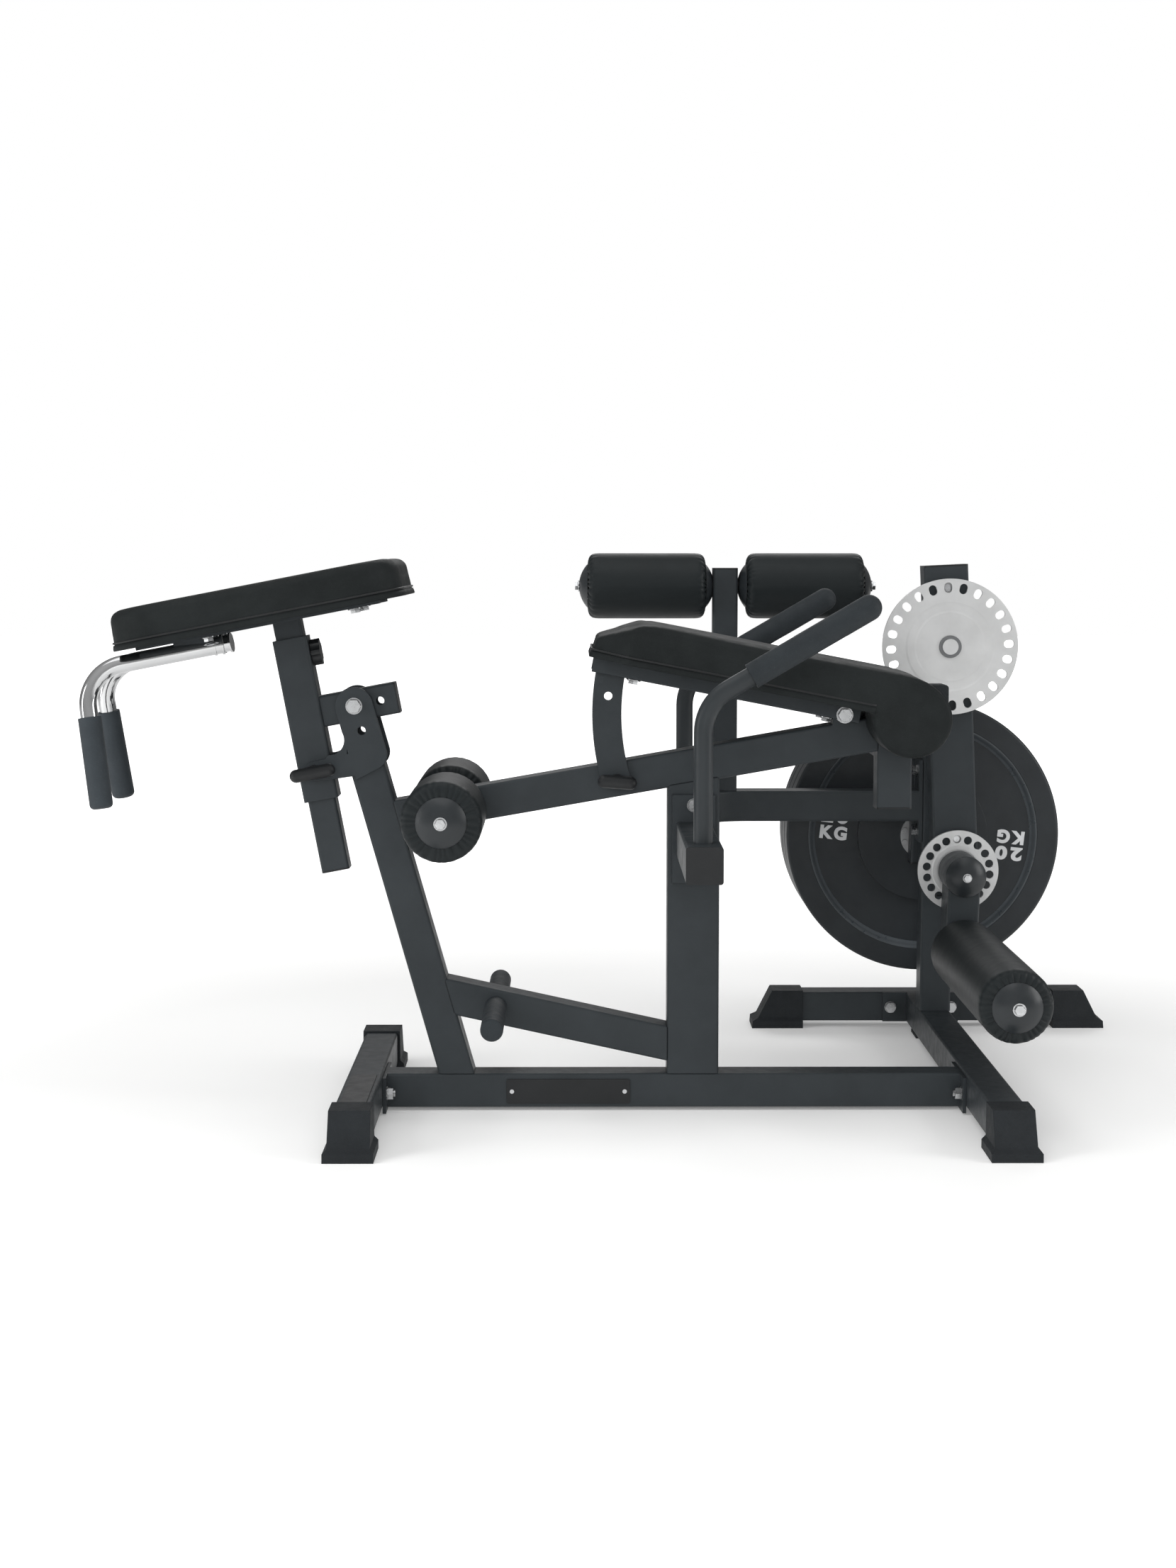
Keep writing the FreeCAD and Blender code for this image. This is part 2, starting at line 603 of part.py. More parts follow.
def ear_plate(y_low):
    """Steel ear on the left post: carries the chest pivot, and an arm over the sleeve holds the pull pin."""
    lean = slope(90 + POST_LEAN)
    across = slope(POST_LEAN)
    radius = 27.0
    bottom_right = CHEST_PIVOT - lean * 92 + across * radius
    bottom_left = CHEST_PIVOT - lean * 103 - across * radius
    body = plate_xz([
        CHEST_PIVOT + across * radius, bottom_right, bottom_left, CHEST_PIVOT - across * radius,
    ], y_low, EAR_THICK)
    lower = [e for e in body.Edges
             if abs(e.tangentAt(e.FirstParameter).y) > 0.9
             and (at(e.CenterOfMass) - bottom_right).Length < 8]
    body = body.makeFillet(22, lower)
    head = rod(at(CHEST_PIVOT, y_low), at(CHEST_PIVOT, y_low + EAR_THICK), radius)
    along = slope(10.5)
    tip = CHEST_PIN
    root = tip + along * 62
    reach = V(-along.z, 0, along.x)
    arm = plate_xz([
        tip + reach * 14.5, root + reach * 17, root - reach * 17, tip - reach * 14.5,
    ], y_low, EAR_THICK)
    arm_tip = rod(at(tip, y_low), at(tip, y_low + EAR_THICK), 14.5)
    throat = plate_xz([V(-530, 0, 514), V(-498, 0, 514), V(-498, 0, 556)], y_low, EAR_THICK)
    notch_centre = V(-524, 0, 542)
    notch = rod(at(notch_centre, y_low - 1), at(notch_centre, y_low + EAR_THICK + 1), 22)
    ear = fused(body, head, arm, arm_tip, throat).cut(notch)
    spots = (
        (CHEST_PIVOT, 6.0),
        (CHEST_PIVOT + V(10.5, 0, -35.5), 6.0),
        (CHEST_PIN, 6.0 + RUNNING),
    )
    for spot, bore in spots:
        ear = ear.cut(rod(at(spot, y_low - 1), at(spot, y_low + EAR_THICK + 1), bore))
    return ear


def lobed_knob(centre, axis, radius, height, lobes=7):
    """Star knob with shallow finger scallops."""
    body = rod(centre, centre + axis * height, radius)
    side = Y_AXIS
    up = axis.cross(side)
    cutters = []
    for i in range(lobes):
        angle = 2 * math.pi * i / lobes
        spot = centre + side * (math.cos(angle) * radius * 1.28) + up * (math.sin(angle) * radius * 1.28)
        cutters.append(rod(spot - axis, spot + axis * (height + 1), radius * 0.42))
    return body.cut(cutters)


def t_pin(centre, y_face, tip_y, along, handle_length, handle_radius=9.5):
    """Pull pin: a shank across the machine with a capsule-shaped handle in front of the plate."""
    handle_y = y_face - 22
    grip_middle = at(centre, handle_y)
    half = handle_length / 2 - handle_radius
    handle = fused(
        rod(grip_middle - along * half, grip_middle + along * half, handle_radius),
        Part.makeSphere(handle_radius, grip_middle - along * half),
        Part.makeSphere(handle_radius, grip_middle + along * half),
    )
    shank = rod(at(centre, handle_y), at(centre, tip_y), 6)
    collar = rod(at(centre, y_face - 8), at(centre, y_face - 0.2), 10)
    return handle, fused(shank, collar).cut(handle)


def build_chest():
    # ears on the post and the pivot bolt through them
    near = ear_plate(-TUBE / 2 - EAR_THICK)
    far = mirrored(near)
    keep("left_post", near, far)
    outside = TUBE / 2 + EAR_THICK
    keep("pivot_bolts_and_bearings", bolt(at(CHEST_PIVOT, -outside), Y_AXIS, 2 * outside, 6.0, 18.0))

    # sleeve with the pivot arm welded to its side
    down = slope(-90 + CHEST_LEAN)
    square = slope(CHEST_LEAN)
    sleeve_end = SLEEVE_TOP + down * SLEEVE_LENGTH
    sleeve_solid = bar(SLEEVE_TOP, sleeve_end, Y_AXIS, SLEEVE_WIDTH, TUBE)
    sleeve = sleeve_solid.cut(bar(SLEEVE_TOP, sleeve_end, Y_AXIS, 44, 44, 2))
    liners = []
    for start in (0.0, SLEEVE_LENGTH - 40):
        a = SLEEVE_TOP + down * start
        b = a + down * 40
        liner = bar(a, b, Y_AXIS, 44, 44, 2).cut(bar(a, b, Y_AXIS, 40.1, 40.1, TUBE_CORNER))
        liners.append(liner)
    arm_tip = CHEST_PIVOT + square * 61
    arm_root = CHEST_PIVOT - square * 90
    arm = tube(arm_root, arm_tip, Y_AXIS, SMALL_TUBE, 45).cut(sleeve_solid)
    arm = arm.cut(bar(SLEEVE_TOP - square * 40, sleeve_end - square * 40, Y_AXIS, 60, 60))
    arm = arm.cut(rod(at(CHEST_PIVOT, -30), at(CHEST_PIVOT, 30), 10))
    end_hole = CHEST_PIVOT + square * 37.4
    arm = arm.cut(rod(at(end_hole, -30), at(end_hole, 30), 6))
    bush = ring(at(CHEST_PIVOT, -24.5), at(CHEST_PIVOT, 24.5), 10, 6 + RUNNING)
    knob_line = SLEEVE_TOP + down * 26
    knob_seat = knob_line + square * (TUBE / 2)
    sleeve = sleeve.cut(rod(knob_line, knob_seat + square * 5, 5 + RUNNING))
    liners[0] = liners[0].cut(rod(knob_line, knob_seat + square * 5, 5 + RUNNING))
    keep("chest_sleeve", sleeve)
    keep("chest_arm_plastics", *liners)
    keep("chest_sleeve", arm)
    keep("chest_sleeve", bush)
    keep("chest_arm_plastics", end_plug(arm_tip, square, Y_AXIS, SMALL_TUBE, 45, 1.5))

    knob = lobed_knob(knob_seat + square * 0.6, square, 19, 13.5)
    stem = rod(knob_line + square * 20.4, knob_seat + square * 0.6, 5)
    keep("chest_knob", fused(knob, stem))

    # pull pin through the near ear's arm; its tip stops just short of the sleeve
    handle, shank = t_pin(CHEST_PIN, -outside, -TUBE / 2 + 0.3, slope(CHEST_PAD_ANGLE), 66)
    keep("chest_pin", handle)
    keep("chest_pin", shank)

    # telescoping post, pad plates, bars, pad
    along = slope(CHEST_PAD_ANGLE)
    up = V(-along.z, 0, along.x)
    middle = CHEST_PAD_MIDDLE
    plate_low = middle - up * PLATE
    post_top = SLEEVE_TOP - down * 25.5
    post_end = SLEEVE_TOP + down * 339
    post = tube(post_top, post_end, Y_AXIS, SMALL_TUBE, SMALL_TUBE)
    over = seated(box(V(-300, -200, -PLATE), V(300, 200, 60)), middle, along, up)
    keep("chest_post", post.cut(over))
    keep("chest_post_plug", end_plug(post_end, down, Y_AXIS, SMALL_TUBE, SMALL_TUBE))
    rails = [box(V(-180, y - 20, -PLATE), V(168, y + 20, 0)) for y in (-64, 64)]
    web = box(V(-12, -84, -PLATE), V(68, 84, 0))
    frame = seated(fused(web, *rails), middle, along, up)
    pad = seated(pad_block(CHEST_PAD_SIZE.x, CHEST_PAD_SIZE.y, CHEST_PAD_SIZE.z, 62, 14), middle, along, up)

    bolts = []
    for t, y in ((133, -71), (133, 71), (-78, -71), (-78, 71)):
        seat = plate_low + along * t + Y_AXIS * y
        bolts.append(screw(seat, up, 25))
        frame = drilled(frame, seat, up, 10, 4.0)
        pad = pad.cut(rod(seat, seat + up * 25, 4.0))
    keep("chest_post", frame)
    keep("chest_pad_screws", *bolts)
    keep("chest_pad", pad)

    bars = []
    grips = []
    clamps = []
    for sign in (-1, 1):
        start = V(-671, sign * 44, 679.6)
        corner = V(-867, sign * 62, 642)
        end = V(-840, sign * 85, 449)
        toward = (end - corner).normalize()
        run = (corner - start).normalize()
        bars.append(fused(
            bent_rod([start, corner, end - toward * 4], [58], 12.5),
            rod(start, start + run * 3, 14.5),
            rod(start + run * 11, start + run * 14, 14.0),
        ))
        grip_start = corner + toward * 66
        grip = rod(grip_start, end, 16.5)
        tips = [e for e in grip.Edges if len(e.Vertexes) == 1 and (e.CenterOfMass - end).Length < 1]
        grip = grip.makeFillet(7, tips)
        grips.append(grip.cut(rod(grip_start, end - toward * 4, 12.5)))
        # saddle that is welded between the bar and the pad frame
        spot = start + run * 44
        lift = up.dot(spot - middle)
        saddle = box(V(-24, -9, 0), V(24, 9, -PLATE - lift))
        clamps.append(seated(saddle, spot, along, up).cut(rod(start, start + run * 140, 12.5)))
    keep("chest_bars", *bars)
    keep("chest_grips", *grips)
    keep("chest_post", *clamps)


# ---- bench ----------------------------------------------------------------------------------------------

def build_bench():
    along = slope(-SEAT_ANGLE)
    up = V(-along.z, 0, along.x)

    def local(low, high):
        return seated(box(low, high), SEAT_PIVOT, along, up)

    # boss on the bench bar with the pivot bolt and two spacers
    boss = rod(at(SEAT_PIVOT, -TUBE / 2), at(SEAT_PIVOT, TUBE / 2), 14)
    envelope = bar(bar_centre(0), bar_centre(260), Y_AXIS)
    saddle = plate_xz([
        bar_centre(SEAT_PIVOT.x - 20), bar_centre(SEAT_PIVOT.x + 20),
        SEAT_PIVOT + V(13, 0, -5), SEAT_PIVOT + V(-13, 0, -5),
    ], -TUBE / 2, TUBE)
    boss = fused(boss, saddle).cut(envelope).cut(rod(at(SEAT_PIVOT, -30), at(SEAT_PIVOT, 30), 6))
    keep("bench_bar", boss)
    spacers = []
    for sign in (-1, 1):
        spacers.append(ring(at(SEAT_PIVOT, sign * 25), at(SEAT_PIVOT, sign * 30.8), 12, 6 + RUNNING))
    keep("pivot_bolts_and_bearings", *spacers)
    rail_in = 31.0
    rail_out = 51.0
    seat_bolt = bolt(at(SEAT_PIVOT, -rail_out - 0.2), Y_AXIS, 2 * rail_out + 0.4, 6.0, 17.0)
    keep("pivot_bolts_and_bearings", seat_bolt)

    rails = []
    bolts = []
    pad_holes = []
    for sign in (-1, 1):
        low = min(sign * rail_in, sign * rail_out)
        centre = V(0, low + 10, 3.2)
        rail = seated(
            rounded_face(20, 22.4, 2.5).extrude(V(0, 0, SEAT_LEFT + 16)), V(0, 0, 0), Y_AXIS, X_AXIS)
        rail_hole = seated(
            rounded_face(15, 17.4, 1.0).extrude(V(0, 0, SEAT_LEFT + 16)), V(0, 0, 0), Y_AXIS, X_AXIS)
        rail = rail.cut(rail_hole)
        rail.translate(V(-SEAT_LEFT + 6, centre.y, centre.z))
        rails.append(rail)
    placed_rails = []
    for rail in rails:
        turn = FreeCAD.Placement(SEAT_PIVOT, FreeCAD.Rotation(along, up.cross(along), up, "ZXY"))
        placed = rail.transformed(turn.toMatrix())
        placed = placed.cut(rod(at(SEAT_PIVOT, -60), at(SEAT_PIVOT, 60), 6 + RUNNING))
        placed_rails.append(placed)
    for index, y in enumerate((-41.0, 41.0)):
        for t in (-24.0, -305.0):
            seat = SEAT_PIVOT + along * t + up * -8.0 + Y_AXIS * y
            bolts.append(screw(seat, up, 45))
            placed_rails[index] = drilled(placed_rails[index], seat, up, 30, 4.0)
            pad_holes.append(rod(seat, seat + up * 45, 4.0))
    keep("bench_frame", *placed_rails)
    keep("bench_pad_screws", *bolts)

    # pad with chamfered far corners that rolls over at the lever end
    half = SEAT_WIDTH / 2
    cut = 52.0
    outline = Part.makePolygon([
        V(-SEAT_LEFT, -half + cut, 0), V(-SEAT_LEFT + cut, -half, 0), V(SEAT_ROLL_AT, -half, 0),
        V(SEAT_ROLL_AT, half, 0), V(-SEAT_LEFT + cut, half, 0), V(-SEAT_LEFT, half - cut, 0),
        V(-SEAT_LEFT, -half + cut, 0),
    ])
    slab = Part.Face(outline).extrude(V(0, 0, SEAT_THICK))
    slab.translate(V(0, 0, SEAT_GAP))
    top = SEAT_GAP + SEAT_THICK
    fall = 60.0
    drop = 28.0
    wedge = Part.makePolygon([
        V(-SEAT_LEFT + fall, -half - 5, top), V(-SEAT_LEFT - 10, -half - 5, top - drop * (fall + 10) / fall),
        V(-SEAT_LEFT - 10, -half - 5, top + 10), V(-SEAT_LEFT + fall, -half - 5, top + 10),
        V(-SEAT_LEFT + fall, -half - 5, top),
    ])
    slab = slab.cut(Part.Face(wedge).extrude(V(0, 2 * half + 10, 0)))
    soft = [e for e in slab.Edges
            if all(v.Z > top - drop - 3 for v in e.Vertexes)
            and (e.CenterOfMass.x < -SEAT_LEFT + fall + 1 or abs(e.CenterOfMass.y) > half - 1)
            and e.CenterOfMass.x < SEAT_ROLL_AT - 1]
    slab = slab.makeFillet(8, soft)
    roll = Part.makeCylinder(SEAT_ROLL, SEAT_WIDTH, V(SEAT_ROLL_AT, -half, top - SEAT_ROLL), Y_AXIS)
    ends = [e for e in roll.Edges if len(e.Vertexes) == 1]
    roll = roll.makeFillet(8, ends)
    pocket = box(V(14, -30, -70), V(114, 30, 8))
    pad = fused(slab, roll).cut(pocket)
    pad = seated(pad, SEAT_PIVOT, along, up)
    for opening in pad_holes:
        pad = pad.cut(opening)
    # the pad's underside clears the boss and the rails
    for rail in placed_rails:
        pad = pad.cut(rail)
    rail_slots = [local(V(-SEAT_LEFT - 5, y - 10.5, -40), V(23, y + 10.5, SEAT_GAP)) for y in (-41.0, 41.0)]
    for slot in rail_slots:
        pad = pad.cut(slot)
    keep("bench_pad", pad)

    # quadrant plate that swings beside the bench bar
    y_low = -31.0
    first = 165.5
    last = 198.0

    def spot(radius, angle):
        return at(SEAT_PIVOT, y_low, radius * math.cos(math.radians(angle)),
                  radius * math.sin(math.radians(angle)))

    middle = (first + last) / 2
    edges = [
        Part.Arc(spot(QUADRANT_OUT, first), spot(QUADRANT_OUT, middle), spot(QUADRANT_OUT, last)).toShape(),
        Part.makeLine(spot(QUADRANT_OUT, last), spot(QUADRANT_IN, last)),
        Part.Arc(spot(QUADRANT_IN, last), spot(QUADRANT_IN, middle), spot(QUADRANT_IN, first)).toShape(),
        Part.makeLine(spot(QUADRANT_IN, first), spot(QUADRANT_OUT, first)),
    ]
    quadrant = Part.Face(Part.Wire(edges)).extrude(V(0, PLATE, 0))
    corners = [e for e in quadrant.Edges
               if abs(e.tangentAt(e.FirstParameter).y) > 0.9 and e.CenterOfMass.z < 500]
    quadrant = quadrant.makeFillet(12, corners)
    pin_angle = 196.5
    upper_hole = spot(QUADRANT_HOLES, pin_angle - SEAT_TILT)
    pin_at = spot(QUADRANT_HOLES, pin_angle)
    quadrant = quadrant.cut(rod(upper_hole - Y_AXIS, upper_hole + Y_AXIS * 8, 6))
    quadrant = quadrant.cut(rod(pin_at - Y_AXIS, pin_at + Y_AXIS * 8, 6 + RUNNING))
    quadrant = quadrant.cut(local(V(-400, -60, SEAT_GAP), V(100, 60, 100)))
    keep("bench_frame", quadrant)
    handle, shank = t_pin(pin_at, y_low, -TUBE / 2 - 0.3, slope(-4), 56)
    keep("bench_pin", handle)
    keep("bench_pin", shank)


# ---- lever, discs and weight arm ------------------------------------------------------------------------

def lever_down():
    return (LINK_PIVOT - PIVOT).normalize()


def index_disc(centre, radius, y_low, thickness, count, pitch, slot_length, slot_width):
    """Steel disc with a ring of radial slots; a slot as long as it is wide is a round hole."""
    disc = rod(at(centre, y_low), at(centre, y_low + thickness), radius)
    down = lever_down()
    side = V(-down.z, 0, down.x)
    cutters = []
    for i in range(count):
        angle = 2 * math.pi * i / count
        ray = down * math.cos(angle) + side * math.sin(angle)
        spot = at(centre, y_low - 1) + ray * pitch
        depth = Y_AXIS * (thickness + 2)
        half = (slot_length - slot_width) / 2
        if half > 0.1:
            cutters.append(bar(spot, spot + depth, ray, slot_length, slot_width, slot_width / 2 - 0.01))
        else:
            cutters.append(rod(spot, spot + depth, slot_width / 2))
    return disc.cut(cutters)


def build_weight_arm():
    hub_front = DISC_Y - 2.5
    disc = index_disc(PIVOT, DISC_RADIUS, DISC_Y, DISC_THICK, 24, 92.8, 16.4, 12.4)
    disc = disc.cut(rod(at(PIVOT, DISC_Y - 1), at(PIVOT, DISC_Y + 20), SHAFT_RADIUS))
    keep("index_disc", disc)
    arm_front = ARM_Y - ARM_DEPTH / 2
    arm_back = ARM_Y + ARM_DEPTH / 2
    shaft = fused(
        rod(at(PIVOT, hub_front - 1.5), at(PIVOT, arm_back), SHAFT_RADIUS),
        rod(at(PIVOT, hub_front), at(PIVOT, DISC_Y), 17.6),
    )
    keep("index_disc", shaft)
    hang = (at(HORN, ARM_Y) - at(PIVOT, ARM_Y)).normalize()
    arm = tube(at(PIVOT, ARM_Y) - hang * 36, at(HORN, ARM_Y) + hang * 40, Y_AXIS, ARM_DEPTH, TUBE)
    arm = arm.cut(rod(at(PIVOT, arm_front - 2), at(PIVOT, arm_back + 2), SHAFT_RADIUS))
    horn_root = at(HORN, arm_back)
    flange = rod(horn_root, horn_root + Y_AXIS * 7.5, 38)
    screws = []
    for degrees in (18, 162, 198, 342):
        angle = math.radians(degrees)
        seat = horn_root + V(32.8 * math.cos(angle), 0, 32.8 * math.sin(angle))
        flange = flange.cut(rod(seat - Y_AXIS, seat + Y_AXIS * 9, 3))
        screws.append(fused(hexagon(seat, V(0, -1, 0), 8.5, 4), rod(seat, seat + Y_AXIS * 7.5, 3)))
    horn = rod(horn_root, V(HORN.x, 688, HORN.z), HORN_RADIUS)
    tips = [e for e in horn.Edges if len(e.Vertexes) == 1 and e.CenterOfMass.y > 600]
    horn = horn.makeFillet(4, tips)
    keep("weight_arm", arm)
    keep("weight_horn", fused(flange, horn))
    keep("weight_horn", *screws)
    plugs = [
        end_plug(at(PIVOT, ARM_Y) - hang * 36, hang * -1, Y_AXIS, ARM_DEPTH, TUBE),
        end_plug(at(HORN, ARM_Y) + hang * 40, hang, Y_AXIS, ARM_DEPTH, TUBE),
    ]
    keep("weight_arm_plugs", *plugs)

    # iron plates: raised rim and hub on both faces
    radius = PLATE_DIAMETER / 2
    rim = radius * 0.84
    hub = radius * 0.476
    dish = 9.0
    for i in range(PLATE_COUNT):
        y = PLATES_Y + i * PLATE_WIDTH
        plate = Part.makeCylinder(radius, PLATE_WIDTH, at(HORN, y), Y_AXIS)
        edges = [e for e in plate.Edges if len(e.Vertexes) == 1]
        plate = plate.makeFillet(6, edges)
        plate = plate.cut(ring(at(HORN, y), at(HORN, y + dish), rim, hub))
        plate = plate.cut(ring(at(HORN, y + PLATE_WIDTH - dish), at(HORN, y + PLATE_WIDTH), rim, hub))
        plate = plate.cut(rod(at(HORN, y - 1), at(HORN, y + PLATE_WIDTH + 1), HORN_RADIUS + 0.4))
        keep("weight_plates", plate)


def spring_pin(name, centre, disc_back, travel_room):
    """Sprung pull pin in a threaded housing: the tip points at the disc, the knob is behind the lever."""
    back = LEVER_Y + TUBE / 2
    pin = fused(
        rod(at(centre, disc_back + 0.3), at(centre, back + 9), 6),
        rod(at(centre, back + 7.5), at(centre, back + 7.5 + travel_room), 13),
    )
    housing = ring(at(centre, LEVER_Y - TUBE / 2 - 5), at(centre, back + 7), 9, 6 + RUNNING)
    keep(name, pin)
    return housing


def build_lever():
    down = lever_down()
    side = V(-down.z, 0, down.x)
    top = at(PIVOT, LEVER_Y) - down * 126
    end = at(LINK_PIVOT, LEVER_Y) + down * 40
    lever = tube(top, end, side, LEVER_WIDTH, TUBE)
    pivot_hub = ring(at(PIVOT, DISC_Y + DISC_THICK + 1), at(PIVOT, LEVER_Y + 32), 21, SHAFT_RADIUS + RUNNING)
    lever = lever.cut(rod(at(PIVOT, 300), at(PIVOT, 420), 21))
    upper_pin = PIVOT - down * 92.8
    lower_pin = LINK_PIVOT - down * 50.2
    housings = [
        spring_pin("lever_pin", upper_pin, DISC_Y + DISC_THICK, 14),
        spring_pin("link_pin", lower_pin, 328.0, 14),
    ]
    for spot in (upper_pin, lower_pin):
        lever = lever.cut(rod(at(spot, 330), at(spot, 400), 9))
    lever = lever.cut(rod(at(LINK_PIVOT, 300), at(LINK_PIVOT, 420), 15))
    link_bush = ring(at(LINK_PIVOT, LEVER_Y - 27), at(LINK_PIVOT, LEVER_Y + 27), 15, 10 + RUNNING)
    keep("lever_tube", lever)
    keep("lever_bushes", pivot_hub)
    keep("lever_bushes", *housings)
    keep("lever_bushes", link_bush)
    keep("lever_plugs", end_plug(top, down * -1, side, LEVER_WIDTH, TUBE))
    keep("lever_plugs", end_plug(end, down, side, LEVER_WIDTH, TUBE))

    # ankle link: disc, hub, tube and axle
    disc = index_disc(LINK_PIVOT, SMALL_DISC_RADIUS, 322, 6, 18, 50.2, 13, 13)
    disc = disc.cut(rod(at(LINK_PIVOT, 300), at(LINK_PIVOT, 340), 10))
    keep("link_disc", disc)
    hang = (ANKLE - LINK_PIVOT).normalize()
    link_y = 286.0
    hub_front = 243.0
    hub = rod(at(LINK_PIVOT, hub_front), at(LINK_PIVOT, 322), LINK_HUB_RADIUS)
    link = tube(at(LINK_PIVOT, link_y), at(ANKLE, link_y) + hang * 26, Y_AXIS, 68, TUBE)
    link = link.cut(hub)
    link = link.cut(rod(at(LINK_PIVOT, 200), at(LINK_PIVOT, 400), LINK_HUB_RADIUS))
    shaft = rod(at(LINK_PIVOT, 322), at(LINK_PIVOT, LEVER_Y + 29), 10)
    retainer = rod(at(LINK_PIVOT, LEVER_Y + 29), at(LINK_PIVOT, LEVER_Y + 33), 14)
    keep("link_tube", fused(hub, shaft, retainer).cut(rod(at(LINK_PIVOT, 200), at(LINK_PIVOT, 262), 4)))
    ball = 43.0
    rise = ball - math.sqrt(ball * ball - LINK_HUB_RADIUS ** 2)
    dome = Part.makeSphere(ball, at(LINK_PIVOT, hub_front - rise + ball))
    dome = dome.cut(Part.makeCylinder(90, 200, at(LINK_PIVOT, hub_front), Y_AXIS))
    dome = dome.cut(rod(at(LINK_PIVOT, 200), at(LINK_PIVOT, 262), 4))
    keep("link_caps", dome)
    cap_face = hub_front - rise + 1.2
    keep("ankle_axle", fused(
        rod(at(LINK_PIVOT, cap_face - 1.5), at(LINK_PIVOT, 262), 4),
        rod(at(LINK_PIVOT, cap_face - 2), at(LINK_PIVOT, cap_face - 1.2), 7),
        hexagon(at(LINK_PIVOT, cap_face - 2), V(0, -1, 0), 10, 4),
    ).cut(dome))
    axle_bar = fused(
        rod(at(ANKLE, -238 - CAP_RISE), at(ANKLE, 320), AXLE_RADIUS),
        rod(at(ANKLE, -239.6 - CAP_RISE), at(ANKLE, -238 - CAP_RISE), 9.2),
        hexagon(at(ANKLE, -239.6 - CAP_RISE), V(0, -1, 0), 12.5, 5),
    )
    link = link.cut(rod(at(ANKLE, 200), at(ANKLE, 340), AXLE_RADIUS))
    keep("link_tube", link)
    keep("link_caps", end_plug(at(ANKLE, link_y) + hang * 26, hang, Y_AXIS, 68, TUBE))
    keep("ankle_axle", axle_bar)
    foam, caps = roller(at(ANKLE, -238), at(ANKLE, 236), ANKLE_ROLLER_RADIUS)
    keep("ankle_roller_foam", foam)
    behind = box(V(300, 247, 100), V(550, 300, 300))
    keep("ankle_roller_caps", caps[0], caps[1].cut(behind))


def build_all():
    build_floor_frame()
    bolts, holes = build_upright_frame()
    build_side_bars(bolts, holes)
    build_handles()
    build_leg_rollers()
    build_hold_down()
    build_chest()
    build_bench()
    build_weight_arm()
    build_lever()


build_all()
for name, solids in pieces.items():
    node = solids[0].copy() if len(solids) == 1 else Part.makeCompound(solids)
    node.translate(V(-BOX_MIDDLE_X, -BOX_MIDDLE_Y, 0))
    node.exportStep("parts/%s.step" % name)
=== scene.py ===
"""Looks for the lying leg curl: materials, upholstery, gathered foam rollers, studio floor and camera.

Sizes are in metres, apart from the millimetres that at() takes.
"""

import json
import math

import bmesh
import bpy
from mathutils import Matrix, Vector, noise


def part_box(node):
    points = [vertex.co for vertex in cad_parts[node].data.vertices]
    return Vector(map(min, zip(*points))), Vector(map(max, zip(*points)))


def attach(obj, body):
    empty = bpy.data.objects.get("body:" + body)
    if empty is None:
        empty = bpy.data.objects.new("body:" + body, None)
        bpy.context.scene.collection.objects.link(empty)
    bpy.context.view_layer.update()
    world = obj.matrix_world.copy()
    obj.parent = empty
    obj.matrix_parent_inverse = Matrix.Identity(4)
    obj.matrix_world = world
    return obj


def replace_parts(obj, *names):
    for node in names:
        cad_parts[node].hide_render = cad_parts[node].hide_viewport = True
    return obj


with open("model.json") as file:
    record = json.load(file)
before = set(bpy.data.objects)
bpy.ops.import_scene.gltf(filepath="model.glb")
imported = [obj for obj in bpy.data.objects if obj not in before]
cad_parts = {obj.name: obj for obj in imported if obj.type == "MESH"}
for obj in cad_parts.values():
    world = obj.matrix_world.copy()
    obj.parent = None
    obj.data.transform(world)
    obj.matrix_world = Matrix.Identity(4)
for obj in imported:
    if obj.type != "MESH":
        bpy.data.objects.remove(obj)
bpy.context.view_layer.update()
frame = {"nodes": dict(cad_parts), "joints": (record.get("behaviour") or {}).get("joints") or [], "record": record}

MIDDLE = Vector((-0.071131, 0.1755, 0.0))     # origin of the row, measured from the centre post
MM = 0.001
nodes = frame["nodes"]


def at(x, y, z):
    """A point given in millimetres from the centre post, in the row frame."""
    return Vector((x, y, z)) * MM - MIDDLE


# ---- materials ------------------------------------------------------------------------------------------

